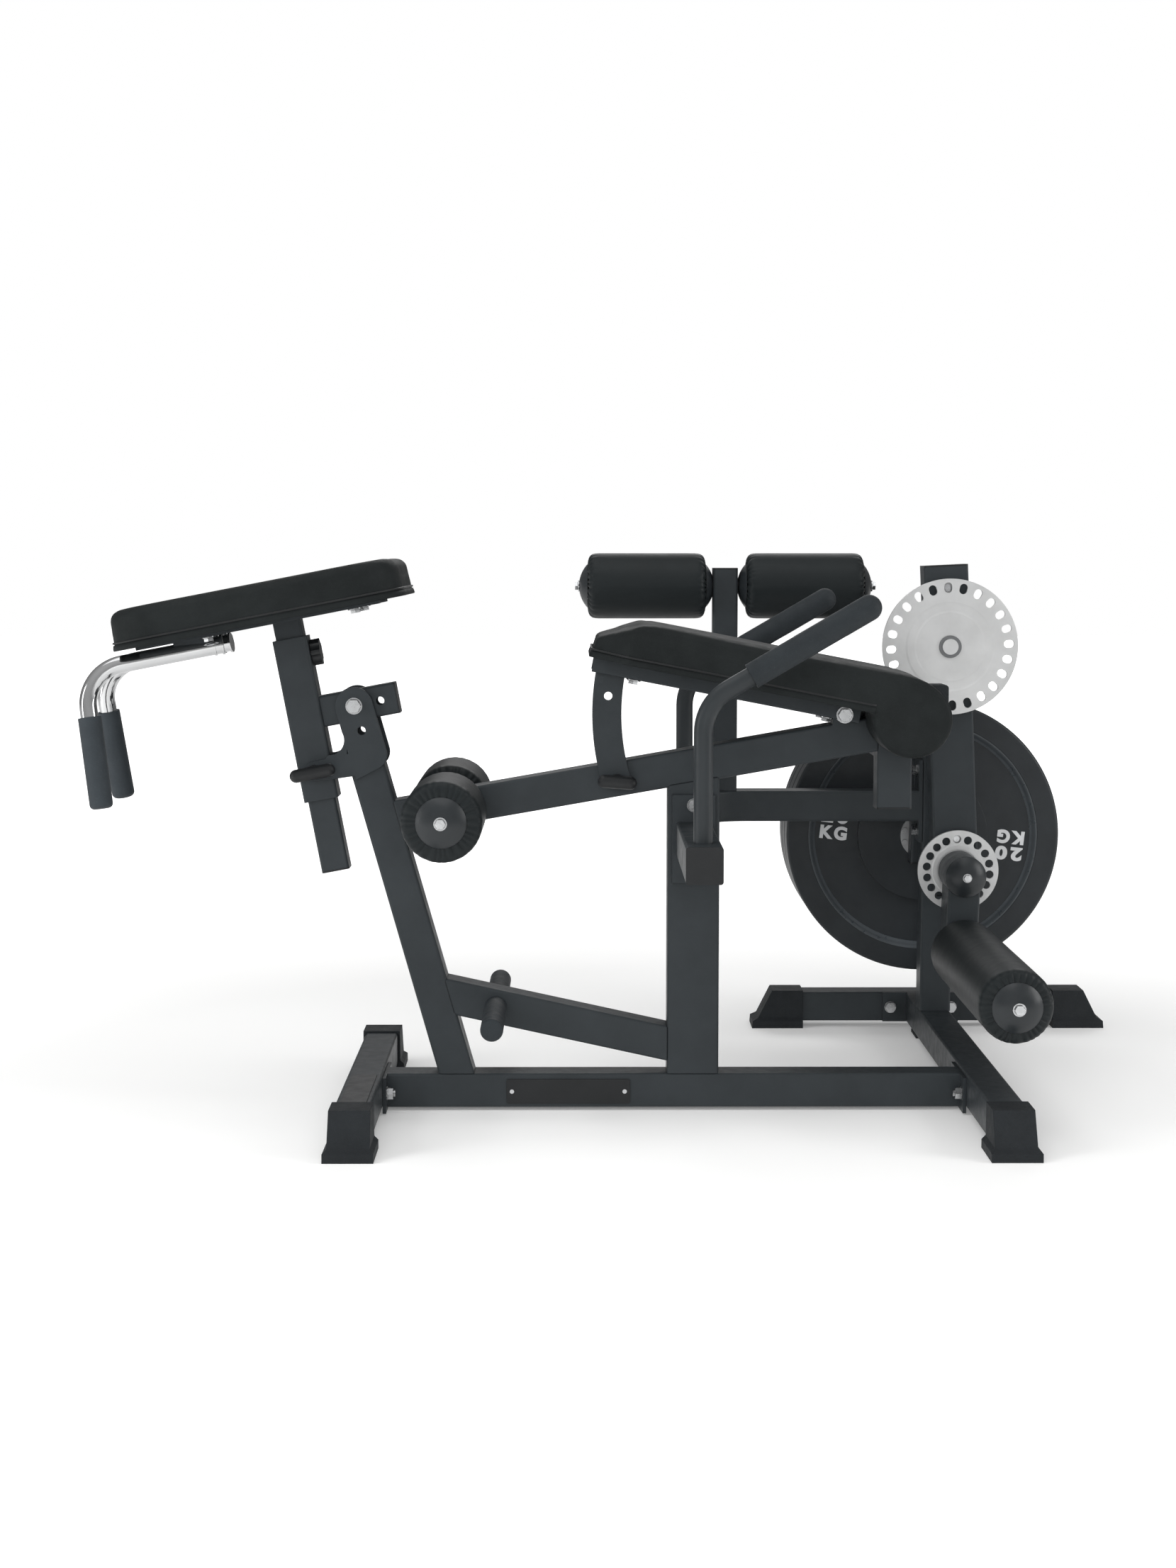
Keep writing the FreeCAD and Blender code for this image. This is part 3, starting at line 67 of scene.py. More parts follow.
class Nodes:
    """Small helper that adds and links shader nodes."""

    def __init__(self, name):
        self.mat = bpy.data.materials.new(name)
        self.mat.use_nodes = True
        self.tree = self.mat.node_tree
        self.bsdf = self.tree.nodes["Principled BSDF"]
        self.coords = self.add("ShaderNodeTexCoord").outputs["Object"]

    def add(self, kind):
        return self.tree.nodes.new(kind)

    def link(self, a, b):
        self.tree.links.new(a, b)

    def noise(self, scale, detail=3.0, rough=0.6):
        node = self.add("ShaderNodeTexNoise")
        node.inputs["Scale"].default_value = scale
        node.inputs["Detail"].default_value = detail
        node.inputs["Roughness"].default_value = rough
        self.link(self.coords, node.inputs["Vector"])
        return node.outputs["Fac"]

    def cells(self, scale, feature="F1"):
        node = self.add("ShaderNodeTexVoronoi")
        node.feature = feature
        node.inputs["Scale"].default_value = scale
        self.link(self.coords, node.inputs["Vector"])
        return node.outputs["Distance"]

    def spread(self, source, low, high, start=0.35, end=0.65):
        node = self.add("ShaderNodeMapRange")
        node.inputs["From Min"].default_value = start
        node.inputs["From Max"].default_value = end
        node.inputs["To Min"].default_value = low
        node.inputs["To Max"].default_value = high
        self.link(source, node.inputs["Value"])
        return node.outputs["Result"]

    def feed(self, socket, source):
        """Link another node's output into a socket, or set the socket to a plain value."""
        if isinstance(source, bpy.types.NodeSocket):
            self.link(source, socket)
        else:
            socket.default_value = source

    def mix_colour(self, factor, low, high):
        """Blend two colours; each is a triple or another node's output."""
        node = self.add("ShaderNodeMix")
        node.data_type = "RGBA"
        for name, colour in (("A", low), ("B", high)):
            self.feed(node.inputs[name], (*colour, 1) if isinstance(colour, tuple) else colour)
        self.link(factor, node.inputs["Factor"])
        return node.outputs["Result"]

    def maths(self, operation, *sources):
        node = self.add("ShaderNodeMath")
        node.operation = operation
        for socket, source in zip(node.inputs, sources):
            self.feed(socket, source)
        return node.outputs["Value"]

    def vector_maths(self, operation, *sources):
        node = self.add("ShaderNodeVectorMath")
        node.operation = operation
        for socket, source in zip(node.inputs, sources):
            self.feed(socket, source)
        return node.outputs["Value" if operation == "LENGTH" else "Vector"]

    def bump(self, height, strength, distance, normal=None):
        node = self.add("ShaderNodeBump")
        node.inputs["Strength"].default_value = strength
        node.inputs["Distance"].default_value = distance
        self.link(height, node.inputs["Height"])
        if normal:
            self.link(normal, node.inputs["Normal"])
        return node.outputs["Normal"]

    def round_edges(self, radius):
        node = self.add("ShaderNodeBevel")
        node.samples = 4
        node.inputs["Radius"].default_value = radius
        return node.outputs["Normal"]


def scaled(colour, factor):
    return tuple(c * factor for c in colour)


def surface(name, colour, rough, metal=0.0, vary=0.12, grain=(), edge=0.0008, spec=0.5,
            rough_vary=0.05, dust=0.0, corner_shade_reach=0.0):
    """Procedural surface: mottled colour and roughness, layered grain and softly rounded edges.

    grain lists (kind, scale, strength, distance) layers; edge is the radius that edges seem to have; dust is
    the share of pale specks; corner_shade_reach is how far from a corner painted shade starts to darken the
    colour.
    """
    n = Nodes(name)
    broad = n.spread(n.noise(14, 4), 0, 1)
    tone = n.mix_colour(broad, scaled(colour, 1 - vary), scaled(colour, 1 + vary))
    if dust:
        speck = n.spread(n.noise(420, 2, 0.7), 0, dust, 0.56, 0.72)
        tone = n.mix_colour(speck, tone, scaled(colour, 2.6))
    if corner_shade_reach:
        # painted shade: an ambient occlusion mask darkens the colour towards corners and where parts meet
        shade = n.add("ShaderNodeAmbientOcclusion")
        shade.samples = 6
        shade.inputs["Distance"].default_value = corner_shade_reach
        open_share = n.spread(shade.outputs["AO"], 0, 1, 0.35, 0.85)
        tone = n.mix_colour(open_share, scaled(colour, 0.12), tone)
    n.link(tone, n.bsdf.inputs["Base Color"])
    fine = n.noise(55)
    n.link(n.spread(fine, rough - rough_vary, rough + rough_vary), n.bsdf.inputs["Roughness"])
    n.bsdf.inputs["Metallic"].default_value = metal
    n.bsdf.inputs["Specular IOR Level"].default_value = spec
    normal = n.round_edges(edge) if edge else None
    for kind, scale, strength, distance in grain:
        if kind == "cells":
            height = n.cells(scale)
        elif kind == "cracks":
            height = n.cells(scale, "DISTANCE_TO_EDGE")
        else:
            height = n.noise(scale)
        normal = n.bump(height, strength, distance, normal)
    if normal:
        n.link(normal, n.bsdf.inputs["Normal"])
    return n


CHARCOAL = (0.0278, 0.0324, 0.0356)
paint = surface("frame_paint", CHARCOAL, 0.42, vary=0.08, spec=0.18,
                grain=(("noise", 1400, 0.16, 0.0003), ("noise", 260, 0.06, 0.0006)), edge=0.0016, dust=0.05)
fine_paint = surface("fine_paint", scaled(CHARCOAL, 0.80), 0.36, vary=0.08, spec=0.30,
                     grain=(("noise", 1800, 0.10, 0.0002),), edge=0.0008)
leather = surface("black_leatherette", (0.0125, 0.0145, 0.0148), 0.55, vary=0.16, spec=0.09,
                  grain=(("cracks", 620, 0.30, 0.0005), ("noise", 1500, 0.2, 0.0003),
                         ("noise", 30, 0.10, 0.003)),
                  edge=0, dust=0.10)
piping = surface("seam_welt", (0.012, 0.013, 0.0135), 0.42, vary=0.12, spec=0.3,
                 grain=(("cracks", 900, 0.25, 0.0003),), edge=0)
vinyl = surface("roller_vinyl", (0.0105, 0.0132, 0.0142), 0.47, vary=0.06, rough_vary=0.02, spec=0.20,
                grain=(("cracks", 760, 0.22, 0.0004), ("noise", 60, 0.02, 0.002)), edge=0, dust=0.06)
cap_plastic = surface("cap_plastic", (0.0150, 0.0178, 0.0200), 0.34, vary=0.08, spec=0.44,
                      grain=(("noise", 900, 0.10, 0.0002),), edge=0.0006)
black_plastic = surface("black_plastic", (0.011, 0.012, 0.013), 0.45, vary=0.1, spec=0.35,
                        grain=(("noise", 1100, 0.2, 0.0002),), edge=0.0008)
GRIP_GRAIN = (("noise", 900, 0.30, 0.0005), ("cells", 420, 0.14, 0.0005))
grip_rubber = surface("grip_rubber", (0.0185, 0.0226, 0.0258), 0.62, vary=0.14, spec=0.25,
                      grain=GRIP_GRAIN, edge=0.0012, dust=0.12)
grip_foam = surface("grip_foam", (0.0300, 0.0365, 0.0420), 0.60, vary=0.10, spec=0.25,
                    grain=GRIP_GRAIN, edge=0.0012, dust=0.10)
foot_rubber = surface("foot_rubber", (0.0135, 0.0158, 0.0178), 0.66, vary=0.14, spec=0.25,
                      grain=(("noise", 520, 0.55, 0.0012), ("cells", 300, 0.25, 0.0008)),
                      edge=0.0016, dust=0.14)
# the zinc fasteners get painted shade in their corners, round washers and nut rims
zinc = surface("zinc_fastener", (0.62, 0.63, 0.64), 0.24, metal=1.0, vary=0.10, rough_vary=0.1,
               grain=(("noise", 500, 0.12, 0.0002),), edge=0.0004, corner_shade_reach=0.004)
chrome = surface("chrome_tube", (0.60, 0.605, 0.61), 0.13, metal=1.0, vary=0.03, rough_vary=0.03,
                 grain=(("noise", 35, 0.02, 0.002),), edge=0.0006)
iron = surface("plate_enamel", (0.0165, 0.0195, 0.0222), 0.44, vary=0.12, spec=0.34,
               grain=(("noise", 330, 0.22, 0.0007), ("noise", 1200, 0.12, 0.0002)), edge=0.002, dust=0.05)
horn_steel = surface("horn_steel", (0.30, 0.305, 0.31), 0.38, metal=0.5, vary=0.16, rough_vary=0.08,
                     grain=(("noise", 420, 0.14, 0.0003),), edge=0.0008)
# painted highlight: the dish slope is a lighter copy of the plate enamel, standing in for light caught by its
# rolled bead
bead_painted_highlight = surface("bead_painted_highlight", (0.060, 0.069, 0.076), 0.32, vary=0.10, spec=0.6,
                      grain=(("noise", 900, 0.10, 0.0002),), edge=0)
letter_paint = surface("letter_paint", (0.62, 0.63, 0.64), 0.5, vary=0.12,
                       grain=(("noise", 700, 0.2, 0.0002),), edge=0.0004)


def disc_steel(name, centre, radius):
    """Plated steel: faint turned rings, a shallow pressed step and a darker ring round the hub."""
    rings_per_metre = 900
    hub_ring = (0.0122, 0.0126, 0.0176, 0.0180)      # where the dark ring fades in and out
    pressed_step = [radius * share for share in (0.50, 0.53, 0.63, 0.66)]
    n = surface(name, (0.58, 0.585, 0.585), 0.42, metal=0.55, vary=0.06, rough_vary=0.08, edge=0)
    distance = n.vector_maths("LENGTH", n.vector_maths(
        "MULTIPLY", n.vector_maths("SUBTRACT", n.coords, centre), Vector((1, 0, 1))))

    def annulus(inner_start, inner_end, outer_start, outer_end):
        return n.maths("MULTIPLY", n.spread(distance, 0, 1, inner_start, inner_end),
                       n.spread(distance, 1, 0, outer_start, outer_end))

    plain = n.bsdf.inputs["Base Color"].links[0].from_socket
    n.link(n.mix_colour(annulus(*hub_ring), plain, (0.16, 0.165, 0.17)), n.bsdf.inputs["Base Color"])
    turned = n.maths("SINE", n.maths("MULTIPLY", distance, 2 * math.pi * rings_per_metre))
    normal = n.bump(annulus(*pressed_step), 0.5, 0.0008)
    n.link(n.bump(turned, 0.03, 0.0002, normal), n.bsdf.inputs["Normal"])
    return n


def joint_place(name):
    return Vector(next(j for j in frame["joints"] if j["name"] == name)["pos_m"])


INDEX_DISC_RADIUS = 0.107
LINK_DISC_RADIUS = 0.064
big_disc_steel = disc_steel("index_disc_steel", joint_place("main_pivot"), INDEX_DISC_RADIUS)
small_disc_steel = disc_steel("link_disc_steel", joint_place("link_angle"), LINK_DISC_RADIUS)

LOOKS = {
    "frame_paint": paint,
    "zinc_fastener": zinc,
    "index_disc_steel": big_disc_steel,
    "foot_rubber": foot_rubber,
    "grip_rubber": grip_rubber,
    "black_plastic": black_plastic,
    "dome_plastic": cap_plastic,
    "foam_vinyl": vinyl,
    "pad_leatherette": leather,
    "chrome_bar": chrome,
    "plate_iron": iron,
}


def dress(obj, look):
    obj.data.materials.clear()
    obj.data.materials.append(look.mat)


for part in frame["record"]["subparts"]:
    if part["node"] in nodes:
        dress(nodes[part["node"]], LOOKS[part["material_slot"]])
dress(nodes["link_disc"], small_disc_steel)
dress(nodes["handle_bars"], fine_paint)
dress(nodes["weight_horn"], horn_steel)
dress(nodes["chest_grips"], grip_foam)


# ---- mesh helpers ---------------------------------------------------------------------------------------

def linked_object(name, data):
    obj = bpy.data.objects.new(name, data)
    bpy.context.scene.collection.objects.link(obj)
    return obj


def evaluated_mesh(obj):
    """The object's mesh with its modifiers, or its outline, turned into plain geometry."""
    return bpy.data.meshes.new_from_object(obj.evaluated_get(bpy.context.evaluated_depsgraph_get()))


def finish_mesh(name, bm, look, body):
    """Turn a bmesh into a piece that rides on a body."""
    bmesh.ops.remove_doubles(bm, verts=bm.verts, dist=1e-6)
    bmesh.ops.recalc_face_normals(bm, faces=bm.faces)
    mesh = bpy.data.meshes.new(name)
    bm.to_mesh(mesh)
    bm.free()
    mesh.shade_smooth()
    obj = linked_object(name, mesh)
    dress(obj, look)
    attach(obj, body)
    return obj


def grid_faces(bm, rows, closed=False):
    """Faces between closed rings of vertices; closed joins the last ring to the first."""
    for a, b in zip(rows, rows[1:] + rows[:1] if closed else rows[1:]):
        for j in range(len(a)):
            k = (j + 1) % len(a)
            bm.faces.new((a[j], a[k], b[k], b[j]))


def basis_for(axis):
    """Two unit vectors square to the axis."""
    axis = axis.normalized()
    side = Vector((0, 0, 1)).cross(axis)
    if side.length < 0.1:
        side = Vector((1, 0, 0))
    side.normalize()
    return side, axis.cross(side)


# ---- foam rollers with gathered vinyl covers ------------------------------------------------------------

GATHERS = 15                # each wave of the cover's gather gives two folds
FINE_WRINKLES = 41
FOLD_DEPTH = 0.0034
WRINKLE_DEPTH = 0.0002
FOLD_DRAW = 0.0024          # how far a fold is drawn in along the axis
COVER_SAG = 0.0001
SKIN_GAP = 0.0003           # the cover lies this far inside the foam's envelope
ROLLER_SIDES = 168
BODY_RINGS = 17             # plain rings between the two gathered ends
RING_STEP = 0.006           # from a gathered end to the first plain ring
LID_DEPTH = 0.003           # the cover's inner ring lies this far inside the end face
LID_SHARE = 0.30            # its radius as a share of the opening's

# cover's profile from its end face inwards: (distance in, share of the radius, share of the fold depth)
ROLLER_END = ((0.0, 0.60, 1.0), (0.0002, 0.67, 1.0), (0.0006, 0.74, 1.0), (0.0012, 0.80, 1.0),
              (0.0022, 0.86, 0.92), (0.0038, 0.91, 0.75), (0.0060, 0.950, 0.50), (0.0088, 0.978, 0.26),
              (0.0125, 0.993, 0.14), (0.018, 1.0, 0.07), (0.025, 1.0, 0.03))


def roller_stations(half):
    """Rings along a roller from end to end: (place along, share of radius, share of fold, end number)."""
    stations = [(-half + inward, share, fold, 0) for inward, share, fold in ROLLER_END]
    start = stations[-1][0] + RING_STEP
    finish = half - ROLLER_END[-1][0] - RING_STEP
    for i in range(BODY_RINGS):
        stations.append((start + (finish - start) * i / (BODY_RINGS - 1), 1.0, 0.0, 0))
    return stations + [(half - inward, share, fold, 1) for inward, share, fold in reversed(ROLLER_END)]


def foam_roller(node, body, axis, seed):
    """Vinyl tube over foam, with gathered folds at both ends."""
    low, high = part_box(node)
    middle = (low + high) / 2
    axis = Vector(axis)
    half = (high - low).dot(axis) / 2
    radius = min(high[i] - low[i] for i in range(3)) / 2
    side, up = basis_for(axis)
    bm = bmesh.new()
    rows = []
    for along, share, fold, end in roller_stations(half):
        row = []
        for j in range(ROLLER_SIDES):
            theta = 2 * math.pi * j / ROLLER_SIDES
            c, s = math.cos(theta), math.sin(theta)
            wobble = noise.noise(Vector((c * 2.2, s * 2.2, seed + end * 7.3)))
            valley = 1 - abs(math.sin(theta * GATHERS + wobble * 2.4 + seed)) ** 0.7
            wrinkle = math.sin(theta * FINE_WRINKLES + wobble * 6.0 + seed * 1.7)
            pull = fold * (FOLD_DEPTH * valley + WRINKLE_DEPTH * wrinkle)
            sag = COVER_SAG * noise.noise(Vector((along * 9, c * 0.8, s * 0.8 + seed)))
            r = radius * share - pull + sag - SKIN_GAP
            inward = fold * FOLD_DRAW * valley * (1 if share < 0.9 else 0.4)
            place = along + (inward if end == 0 else -inward)
            row.append(bm.verts.new(middle + axis * place + side * (r * c) + up * (r * s)))
        rows.append(row)
    grid_faces(bm, rows)
    # close each end with an inner ring that goes under the cap
    for row, sign in ((rows[0], -1), (rows[-1], 1)):
        centre = middle + axis * (sign * (half - LID_DEPTH))
        spokes = [v.co - middle - axis * (v.co - middle).dot(axis) for v in row]
        inner = [bm.verts.new(centre + spoke * LID_SHARE) for spoke in spokes]
        grid_faces(bm, [row, inner])
        bm.faces.new(inner)
    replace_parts(finish_mesh("soft_" + node, bm, vinyl, body), node)


foam_roller("ankle_roller_foam", "ankle_foam", (0, 1, 0), 0.3)
foam_roller("leg_roller_front_foam", "front_leg_roller", (0, 1, 0), 1.9)
foam_roller("leg_roller_rear_foam", "rear_leg_roller", (0, 1, 0), 3.1)
foam_roller("hold_down_left_foam", "left_hold_down_roller", (1, 0, 0), 4.7)
foam_roller("hold_down_right_foam", "right_hold_down_roller", (1, 0, 0), 6.2)


# ---- upholstered pads -----------------------------------------------------------------------------------

def apply_modifiers(obj):
    mesh = evaluated_mesh(obj)
    obj.modifiers.clear()
    obj.data = mesh


def relaxed(mesh, moves, rounds=30):
    """Even out how far the vertices have moved, so that the cover is taut and not rippled."""
    links = [[] for _ in moves]
    for edge in mesh.edges:
        a, b = edge.vertices
        links[a].append(b)
        links[b].append(a)
    for _ in range(rounds):
        mean = []
        for i, near in enumerate(links):
            total = moves[i].copy()
            for j in near:
                total += moves[j]
            mean.append(total / (len(near) + 1))
        moves = mean
    return moves


SIM_FRAMES = 20
PINNED_HEIGHT = 0.012       # the cover is stapled to the board below this height


def inflate(obj, is_pinned, cap):
    """Blow the mesh up as cloth round its pinned part, then even out and limit the movement."""
    mesh = obj.data
    start = [v.co.copy() for v in mesh.vertices]
    group = obj.vertex_groups.new(name="pin")
    group.add([v.index for v in mesh.vertices if is_pinned(v.co)], 1.0, "REPLACE")
    cloth = obj.modifiers.new("cloth", "CLOTH")
    settings = cloth.settings
    settings.quality = 6
    settings.mass = 0.35
    settings.tension_stiffness = 22
    settings.compression_stiffness = 18
    settings.shear_stiffness = 10
    settings.bending_stiffness = 1.2
    settings.use_pressure = True
    settings.uniform_pressure_force = 4.0
    settings.vertex_group_mass = "pin"
    settings.effector_weights.gravity = 0.0
    cloth.collision_settings.use_collision = False
    cloth.collision_settings.use_self_collision = False
    cloth.point_cache.frame_start = 1
    cloth.point_cache.frame_end = SIM_FRAMES
    scene = bpy.context.scene
    for f in range(1, SIM_FRAMES + 1):
        scene.frame_set(f)
    apply_modifiers(obj)
    scene.frame_set(1)
    moves = relaxed(obj.data, [v.co - rest for v, rest in zip(obj.data.vertices, start)])
    for v, rest, move in zip(obj.data.vertices, start, moves):
        v.co = rest + (move * (cap / move.length) if move.length > cap else move)
    obj.vertex_groups.clear()


def cushion(node, name, body, is_pinned, cap, voxel):
    """Upholstered copy of a plain pad: remeshed, inflated as cloth and given a leatherette cover."""
    obj = linked_object(name, nodes[node].data.copy())
    weld = obj.modifiers.new("weld", "WELD")
    weld.merge_threshold = 1e-5
    remesh = obj.modifiers.new("remesh", "REMESH")
    remesh.mode = "VOXEL"
    remesh.voxel_size = voxel
    apply_modifiers(obj)
    smooth = obj.modifiers.new("smooth", "SMOOTH")
    smooth.factor = 0.5
    smooth.iterations = 2
    apply_modifiers(obj)
    inflate(obj, is_pinned, cap)
    subdivide = obj.modifiers.new("subdivide", "SUBSURF")
    subdivide.levels = 1
    apply_modifiers(obj)
    obj.data.shade_smooth()
    dress(obj, leather)
    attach(obj, body)
    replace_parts(obj, node)


def band(name, body, path, normals, profile, up, look, closed=True):
    """Strip swept along a path on the pad's side: the profile gives (outward, upward) offsets."""
    bm = bmesh.new()
    rows = []
    for point, normal in zip(path, normals):
        rows.append([bm.verts.new(point + normal * out + up * rise) for out, rise in profile])
    grid_faces(bm, rows, closed)
    if not closed:
        bm.faces.new(rows[0])
        bm.faces.new(rows[-1])
    return finish_mesh(name, bm, look, body)


def round_profile(radius, centre_out, centre_up, steps=10):
    return [(centre_out + radius * math.cos(2 * math.pi * i / steps),
             centre_up + radius * math.sin(2 * math.pi * i / steps)) for i in range(steps)]


def rounded_outline(width, depth, radius, steps=14):
    """Points and outward normals of a rounded rectangle in its own plane."""
    points = []
    for cx, cy, start in ((1, 1, 0), (-1, 1, 90), (-1, -1, 180), (1, -1, 270)):
        centre = Vector((cx * (width / 2 - radius), cy * (depth / 2 - radius)))
        for i in range(steps + 1):
            a = math.radians(start + 90 * i / steps)
            direction = Vector((math.cos(a), math.sin(a)))
            points.append((centre + direction * radius, direction))
    return points


def resampled(points, spacing, closed=True):
    """Evenly spaced points along straight runs between (position, normal) pairs."""
    out = []
    pairs = list(zip(points, points[1:] + points[:1] if closed else points[1:]))
    for (a, na), (b, nb) in pairs:
        steps = max(1, int((b - a).length / spacing))
        for i in range(steps):
            t = i / steps
            out.append((a.lerp(b, t), na.lerp(nb, t).normalized()))
    if not closed:
        out.append(points[-1])
    return out


def pad_frame(angle):
    """Unit vectors along and square to a pad that slopes by an angle in degrees."""
    a = math.radians(angle)
    along = Vector((math.cos(a), 0, math.sin(a)))
    return along, Vector((-along.z, 0, along.x))


TRIM_SPACING = 0.008
WELT_RADIUS = 0.0016
WELT_HEIGHT = 0.0105         # middle of the welt above the pad's underside
ACROSS = Vector((0, 1, 0))


def trim(pad, body, outline, origin, along, up, welt_out, skirt_low, closed=True):
    """Seam welt and folded lower edge round a pad's outline, given as (point, normal) pairs in its plane."""
    outline = resampled(outline, TRIM_SPACING, closed)
    path = [origin + along * p.x + ACROSS * p.y for p, n in outline]
    normals = [(along * n.x + ACROSS * n.y).normalized() for p, n in outline]
    welt = round_profile(WELT_RADIUS, welt_out, WELT_HEIGHT)
    skirt = [(-0.004, 0.0075), (0.0012, 0.0078), (0.0022, 0.0040), (0.0026, 0.0006), (0.0018, skirt_low),
             (-0.004, skirt_low)]
    band(pad + "_welt", body, path, normals, welt, up, piping, closed)
    band(pad + "_skirt", body, path, normals, skirt, up, leather, closed)


def build_chest_pad():
    along, up = pad_frame(10.97)
    base = at(-612.5, 0, 711.35)
    length, width, corner = 0.4136, 0.300, 0.062

    def is_pinned(co):
        return (co - base).dot(up) < PINNED_HEIGHT

    cushion("chest_pad", "chest_cushion", "chest_rest", is_pinned, cap=0.0018, voxel=0.004)
    trim("chest_pad", "chest_rest", rounded_outline(length, width, corner), base, along, up,
         welt_out=0.0003, skirt_low=-0.0006)


BENCH_RISE = 0.0144          # pad's underside above the tilt bolt
POCKET_START = 0.010         # pocket in the underside over the tilt boss, measured from the bolt
POCKET_HALF_WIDTH = 0.036
POCKET_HEIGHT = 0.020


def build_bench_pad():
    along, up = pad_frame(-10.96)
    pivot = joint_place("bench_tilt")
    base = pivot + up * BENCH_RISE
    half, cut, left, right = 0.140, 0.052, -0.372, 0.030          # half width, corner cut and both ends

    def is_pinned(co):
        spot = co - pivot
        above_boss = (spot.dot(along) > POCKET_START and abs(spot.dot(ACROSS)) < POCKET_HALF_WIDTH
                      and spot.dot(up) < POCKET_HEIGHT)
        return above_boss or (co - base).dot(up) < PINNED_HEIGHT

    cushion("bench_pad", "bench_cushion", "bench", is_pinned, cap=0.0035, voxel=0.0045)
    slant = math.sqrt(0.5)
    corners = [((right, -half), (0, -1)), ((left + cut, -half), (0, -1)),
               ((left + cut, -half), (-slant, -slant)), ((left, -half + cut), (-slant, -slant)),
               ((left, -half + cut), (-1, 0)), ((left, half - cut), (-1, 0)),
               ((left, half - cut), (-slant, slant)), ((left + cut, half), (-slant, slant)),
               ((left + cut, half), (0, 1)), ((right, half), (0, 1))]
    trim("bench_pad", "bench", [(Vector(p), Vector(n)) for p, n in corners], base, along, up,
         welt_out=0.0002, skirt_low=-0.0004, closed=False)


build_chest_pad()
build_bench_pad()


# ---- plate markings -------------------------------------------------------------------------------------

WEB_DEPTH = 0.009            # how far the plate's web lies below its rim
MARKING_WIDTH = 0.0455
MARKING_PLACE = 0.148        # from the plate's centre to the middle of a marking
MARKING_ANGLE = math.radians(6.4)
LINE_RISE = 0.0138           # from the middle of a marking to the middle of each line


def marking(name, text, distance, rise):
    """One line of raised generic marking on the front plate's web, set out round the plate's centre."""
    curve = bpy.data.curves.new(name, "FONT")
    curve.body = text
    curve.size = 0.029
    curve.align_x = "CENTER"
    curve.align_y = "CENTER"
    curve.extrude = 0.0007
    curve.offset = 0.0015
    curve.space_character = 1.34
    outline = linked_object(name, curve)
    mesh = evaluated_mesh(outline)
    bpy.data.objects.remove(outline)
    left = min(v.co.x for v in mesh.vertices)
    right = max(v.co.x for v in mesh.vertices)
    stretch = Matrix.Diagonal((MARKING_WIDTH / (right - left), 1, 1, 1))
    mesh.transform(stretch @ Matrix.Translation((-(left + right) / 2, 0, 0)))
    mesh.transform(Matrix.Translation((0, rise, 0)))
    centre = Vector((plate_middle.x, plate_low.y + WEB_DEPTH, plate_middle.z))
    swing = Matrix.Rotation(MARKING_ANGLE, 4, "Y") @ Matrix.Translation((distance, 0, 0))
    upright = Matrix.Rotation(math.pi if distance > 0 else 0, 4, "Y") @ Matrix.Rotation(math.pi / 2, 4, "X")
    mesh.transform(Matrix.Translation(centre) @ swing @ upright)
    piece = linked_object(name, mesh)
    dress(piece, letter_paint)
    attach(piece, "loaded_plates")


# slope between a plate's rim and its web: (radius, depth below the rim)
DISH_SLOPE = ((0.1925, 0.0008), (0.1912, 0.0006), (0.1900, 0.0006), (0.1888, 0.0010), (0.1874, 0.0020),
              (0.1860, 0.0036), (0.1848, 0.0054), (0.1836, 0.0066), (0.1822, 0.0074), (0.1808, 0.0078),
              (0.1797, 0.0084), (0.1797, 0.0105), (0.1925, 0.0105))
SLOPE_SIDES = 192
SLOPE_INSET = 0.0003


def dish_slope(name, face_y, inward):
    """Cast slope with a rolled bead, round the dish of one plate face, coloured lighter than the plate as a
    painted highlight; inward is 1 or -1 along Y.
    """
    bm = bmesh.new()
    rows = []
    for i in range(SLOPE_SIDES):
        a = 2 * math.pi * i / SLOPE_SIDES
        rows.append([bm.verts.new((plate_middle.x + r * math.cos(a), face_y + inward * (SLOPE_INSET + depth),
                                   plate_middle.z + r * math.sin(a))) for r, depth in DISH_SLOPE])
    grid_faces(bm, rows, closed=True)
    piece = finish_mesh(name, bm, bead_painted_highlight, "loaded_plates")
    piece.data.set_sharp_from_angle(angle=math.radians(35))


plate_low, plate_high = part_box("weight_plates")
plate_middle = (plate_low + plate_high) / 2
dish_slope("plate_slope_front", plate_low.y, 1)
dish_slope("plate_slope_back", plate_high.y, -1)
for side_name, distance in (("left", -MARKING_PLACE), ("right", MARKING_PLACE)):
    marking("plate_marking_%s_number" % side_name, "20", distance, LINE_RISE)
    marking("plate_marking_%s_unit" % side_name, "KG", distance, -LINE_RISE)


# ---- studio ---------------------------------------------------------------------------------------------

NEAR, FAR = 1.0, 4.6         # distances from the middle of the floor
GLOW_NEAR, GLOW_FAR = 0.15, 1.2
GLOW_IN_REFLECTIONS = 0.16


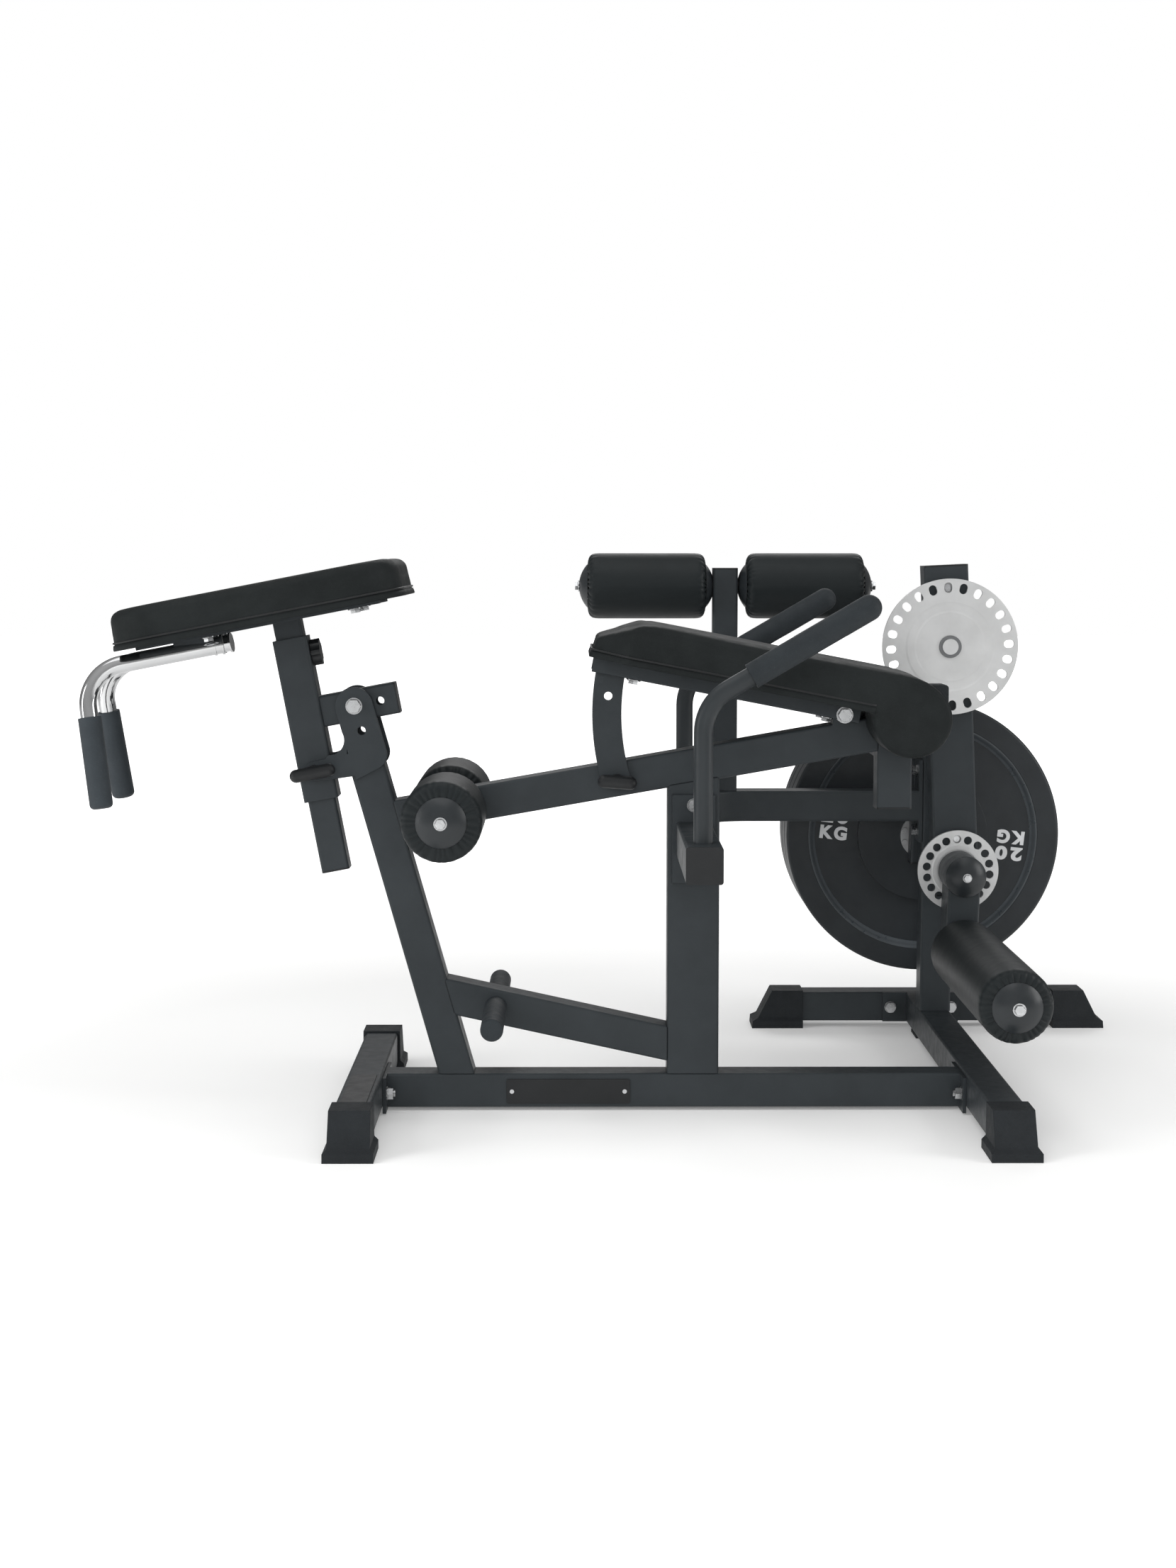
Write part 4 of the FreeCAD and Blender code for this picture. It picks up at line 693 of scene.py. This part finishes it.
def studio_floor_look(colour):
    """Pale matt floor; the camera sees it glow more with distance, so that it meets the white backdrop."""
    n = Nodes("studio_white")
    n.link(n.mix_colour(n.spread(n.noise(0.8, 2), 0, 1), scaled(colour, 0.99), colour),
           n.bsdf.inputs["Base Color"])
    n.bsdf.inputs["Roughness"].default_value = 0.6
    n.bsdf.inputs["Specular IOR Level"].default_value = 0.1
    n.bsdf.inputs["Emission Color"].default_value = (1, 1, 1, 1)
    glow = n.add("ShaderNodeMix")
    glow.inputs["A"].default_value = GLOW_IN_REFLECTIONS
    distance = n.vector_maths("LENGTH", n.coords)
    n.link(n.spread(distance, GLOW_NEAR, GLOW_FAR, NEAR, FAR), glow.inputs["B"])
    n.link(n.add("ShaderNodeLightPath").outputs["Is Camera Ray"], glow.inputs["Factor"])
    n.link(glow.outputs["Result"], n.bsdf.inputs["Emission Strength"])
    return n


bpy.ops.mesh.primitive_plane_add(size=40, location=(0, 0, 0))
floor = bpy.context.active_object
floor.name = "studio_floor"
dress(floor, studio_floor_look((0.90, 0.90, 0.895)))


def lamp(name, place, target, size, power, glossy=True):
    """Rectangular soft light; glossy=False keeps it out of reflections."""
    data = bpy.data.lights.new(name, "AREA")
    data.shape = "RECTANGLE"
    data.size, data.size_y = size
    data.energy = power
    obj = linked_object(name, data)
    obj.location = place
    obj.rotation_euler = (Vector(target) - Vector(place)).to_track_quat("-Z", "Y").to_euler()
    obj.visible_glossy = glossy


# name, place, target, size in metres and power in watts
lamp("top_softbox", (-0.4, -0.6, 3.2), (0, 0, 0.4), (3.2, 2.6), 27)
lamp("left_softbox", (-3.2, -2.0, 1.9), (0, 0, 0.5), (1.4, 2.4), 62, glossy=False)
lamp("left_strip", (-3.0, -0.9, 0.9), (0, 0, 0.55), (0.5, 1.5), 9)
lamp("front_softbox", (-0.4, -4.6, 1.3), (0, 0, 0.45), (2.6, 1.8), 84, glossy=False)
lamp("right_softbox", (3.2, -1.0, 1.5), (0, 0, 0.5), (1.0, 2.2), 34)
lamp("back_softbox", (0.5, 3.4, 2.6), (0, 0.3, 0.5), (3.2, 1.6), 34)

# the backdrop is white to the camera, while the machine is lit by a room that darkens towards the floor and
# the rear wall
world = bpy.data.worlds.new("studio")
bpy.context.scene.world = world
world.use_nodes = True
tree = world.node_tree
background = tree.nodes["Background"]
light_path = tree.nodes.new("ShaderNodeLightPath")
direction = tree.nodes.new("ShaderNodeTexCoord")
split = tree.nodes.new("ShaderNodeSeparateXYZ")
tree.links.new(direction.outputs["Generated"], split.inputs["Vector"])


def world_ramp(axis, start, end, low, high):
    ramp = tree.nodes.new("ShaderNodeMapRange")
    ramp.inputs["From Min"].default_value = start
    ramp.inputs["From Max"].default_value = end
    ramp.inputs["To Min"].default_value = low
    ramp.inputs["To Max"].default_value = high
    tree.links.new(split.outputs[axis], ramp.inputs["Value"])
    return ramp.outputs["Result"]


room = tree.nodes.new("ShaderNodeMath")
room.operation = "MULTIPLY"
tree.links.new(world_ramp("Z", -0.1, 0.8, 0.30, 0.55), room.inputs[0])
tree.links.new(world_ramp("Y", -1.0, 1.0, 1.15, 0.42), room.inputs[1])
choose = tree.nodes.new("ShaderNodeMix")
choose.inputs["B"].default_value = 1.0
tree.links.new(light_path.outputs["Is Camera Ray"], choose.inputs["Factor"])
tree.links.new(room.outputs["Value"], choose.inputs["A"])
tree.links.new(choose.outputs["Result"], background.inputs["Strength"])
background.inputs["Color"].default_value = (1, 1, 1, 1)
bpy.context.scene.view_settings.view_transform = "Standard"

camera_data = bpy.data.cameras.new("camera")
camera_data.lens = 56.15
camera_data.sensor_width = 36.0
camera_data.clip_start = 0.05
camera_data.clip_end = 200
camera = linked_object("camera", camera_data)
camera.location = at(-168, -3528, 810)
camera.rotation_euler = (math.radians(90 - 5.41), 0, math.radians(-0.257))
bpy.context.scene.camera = camera
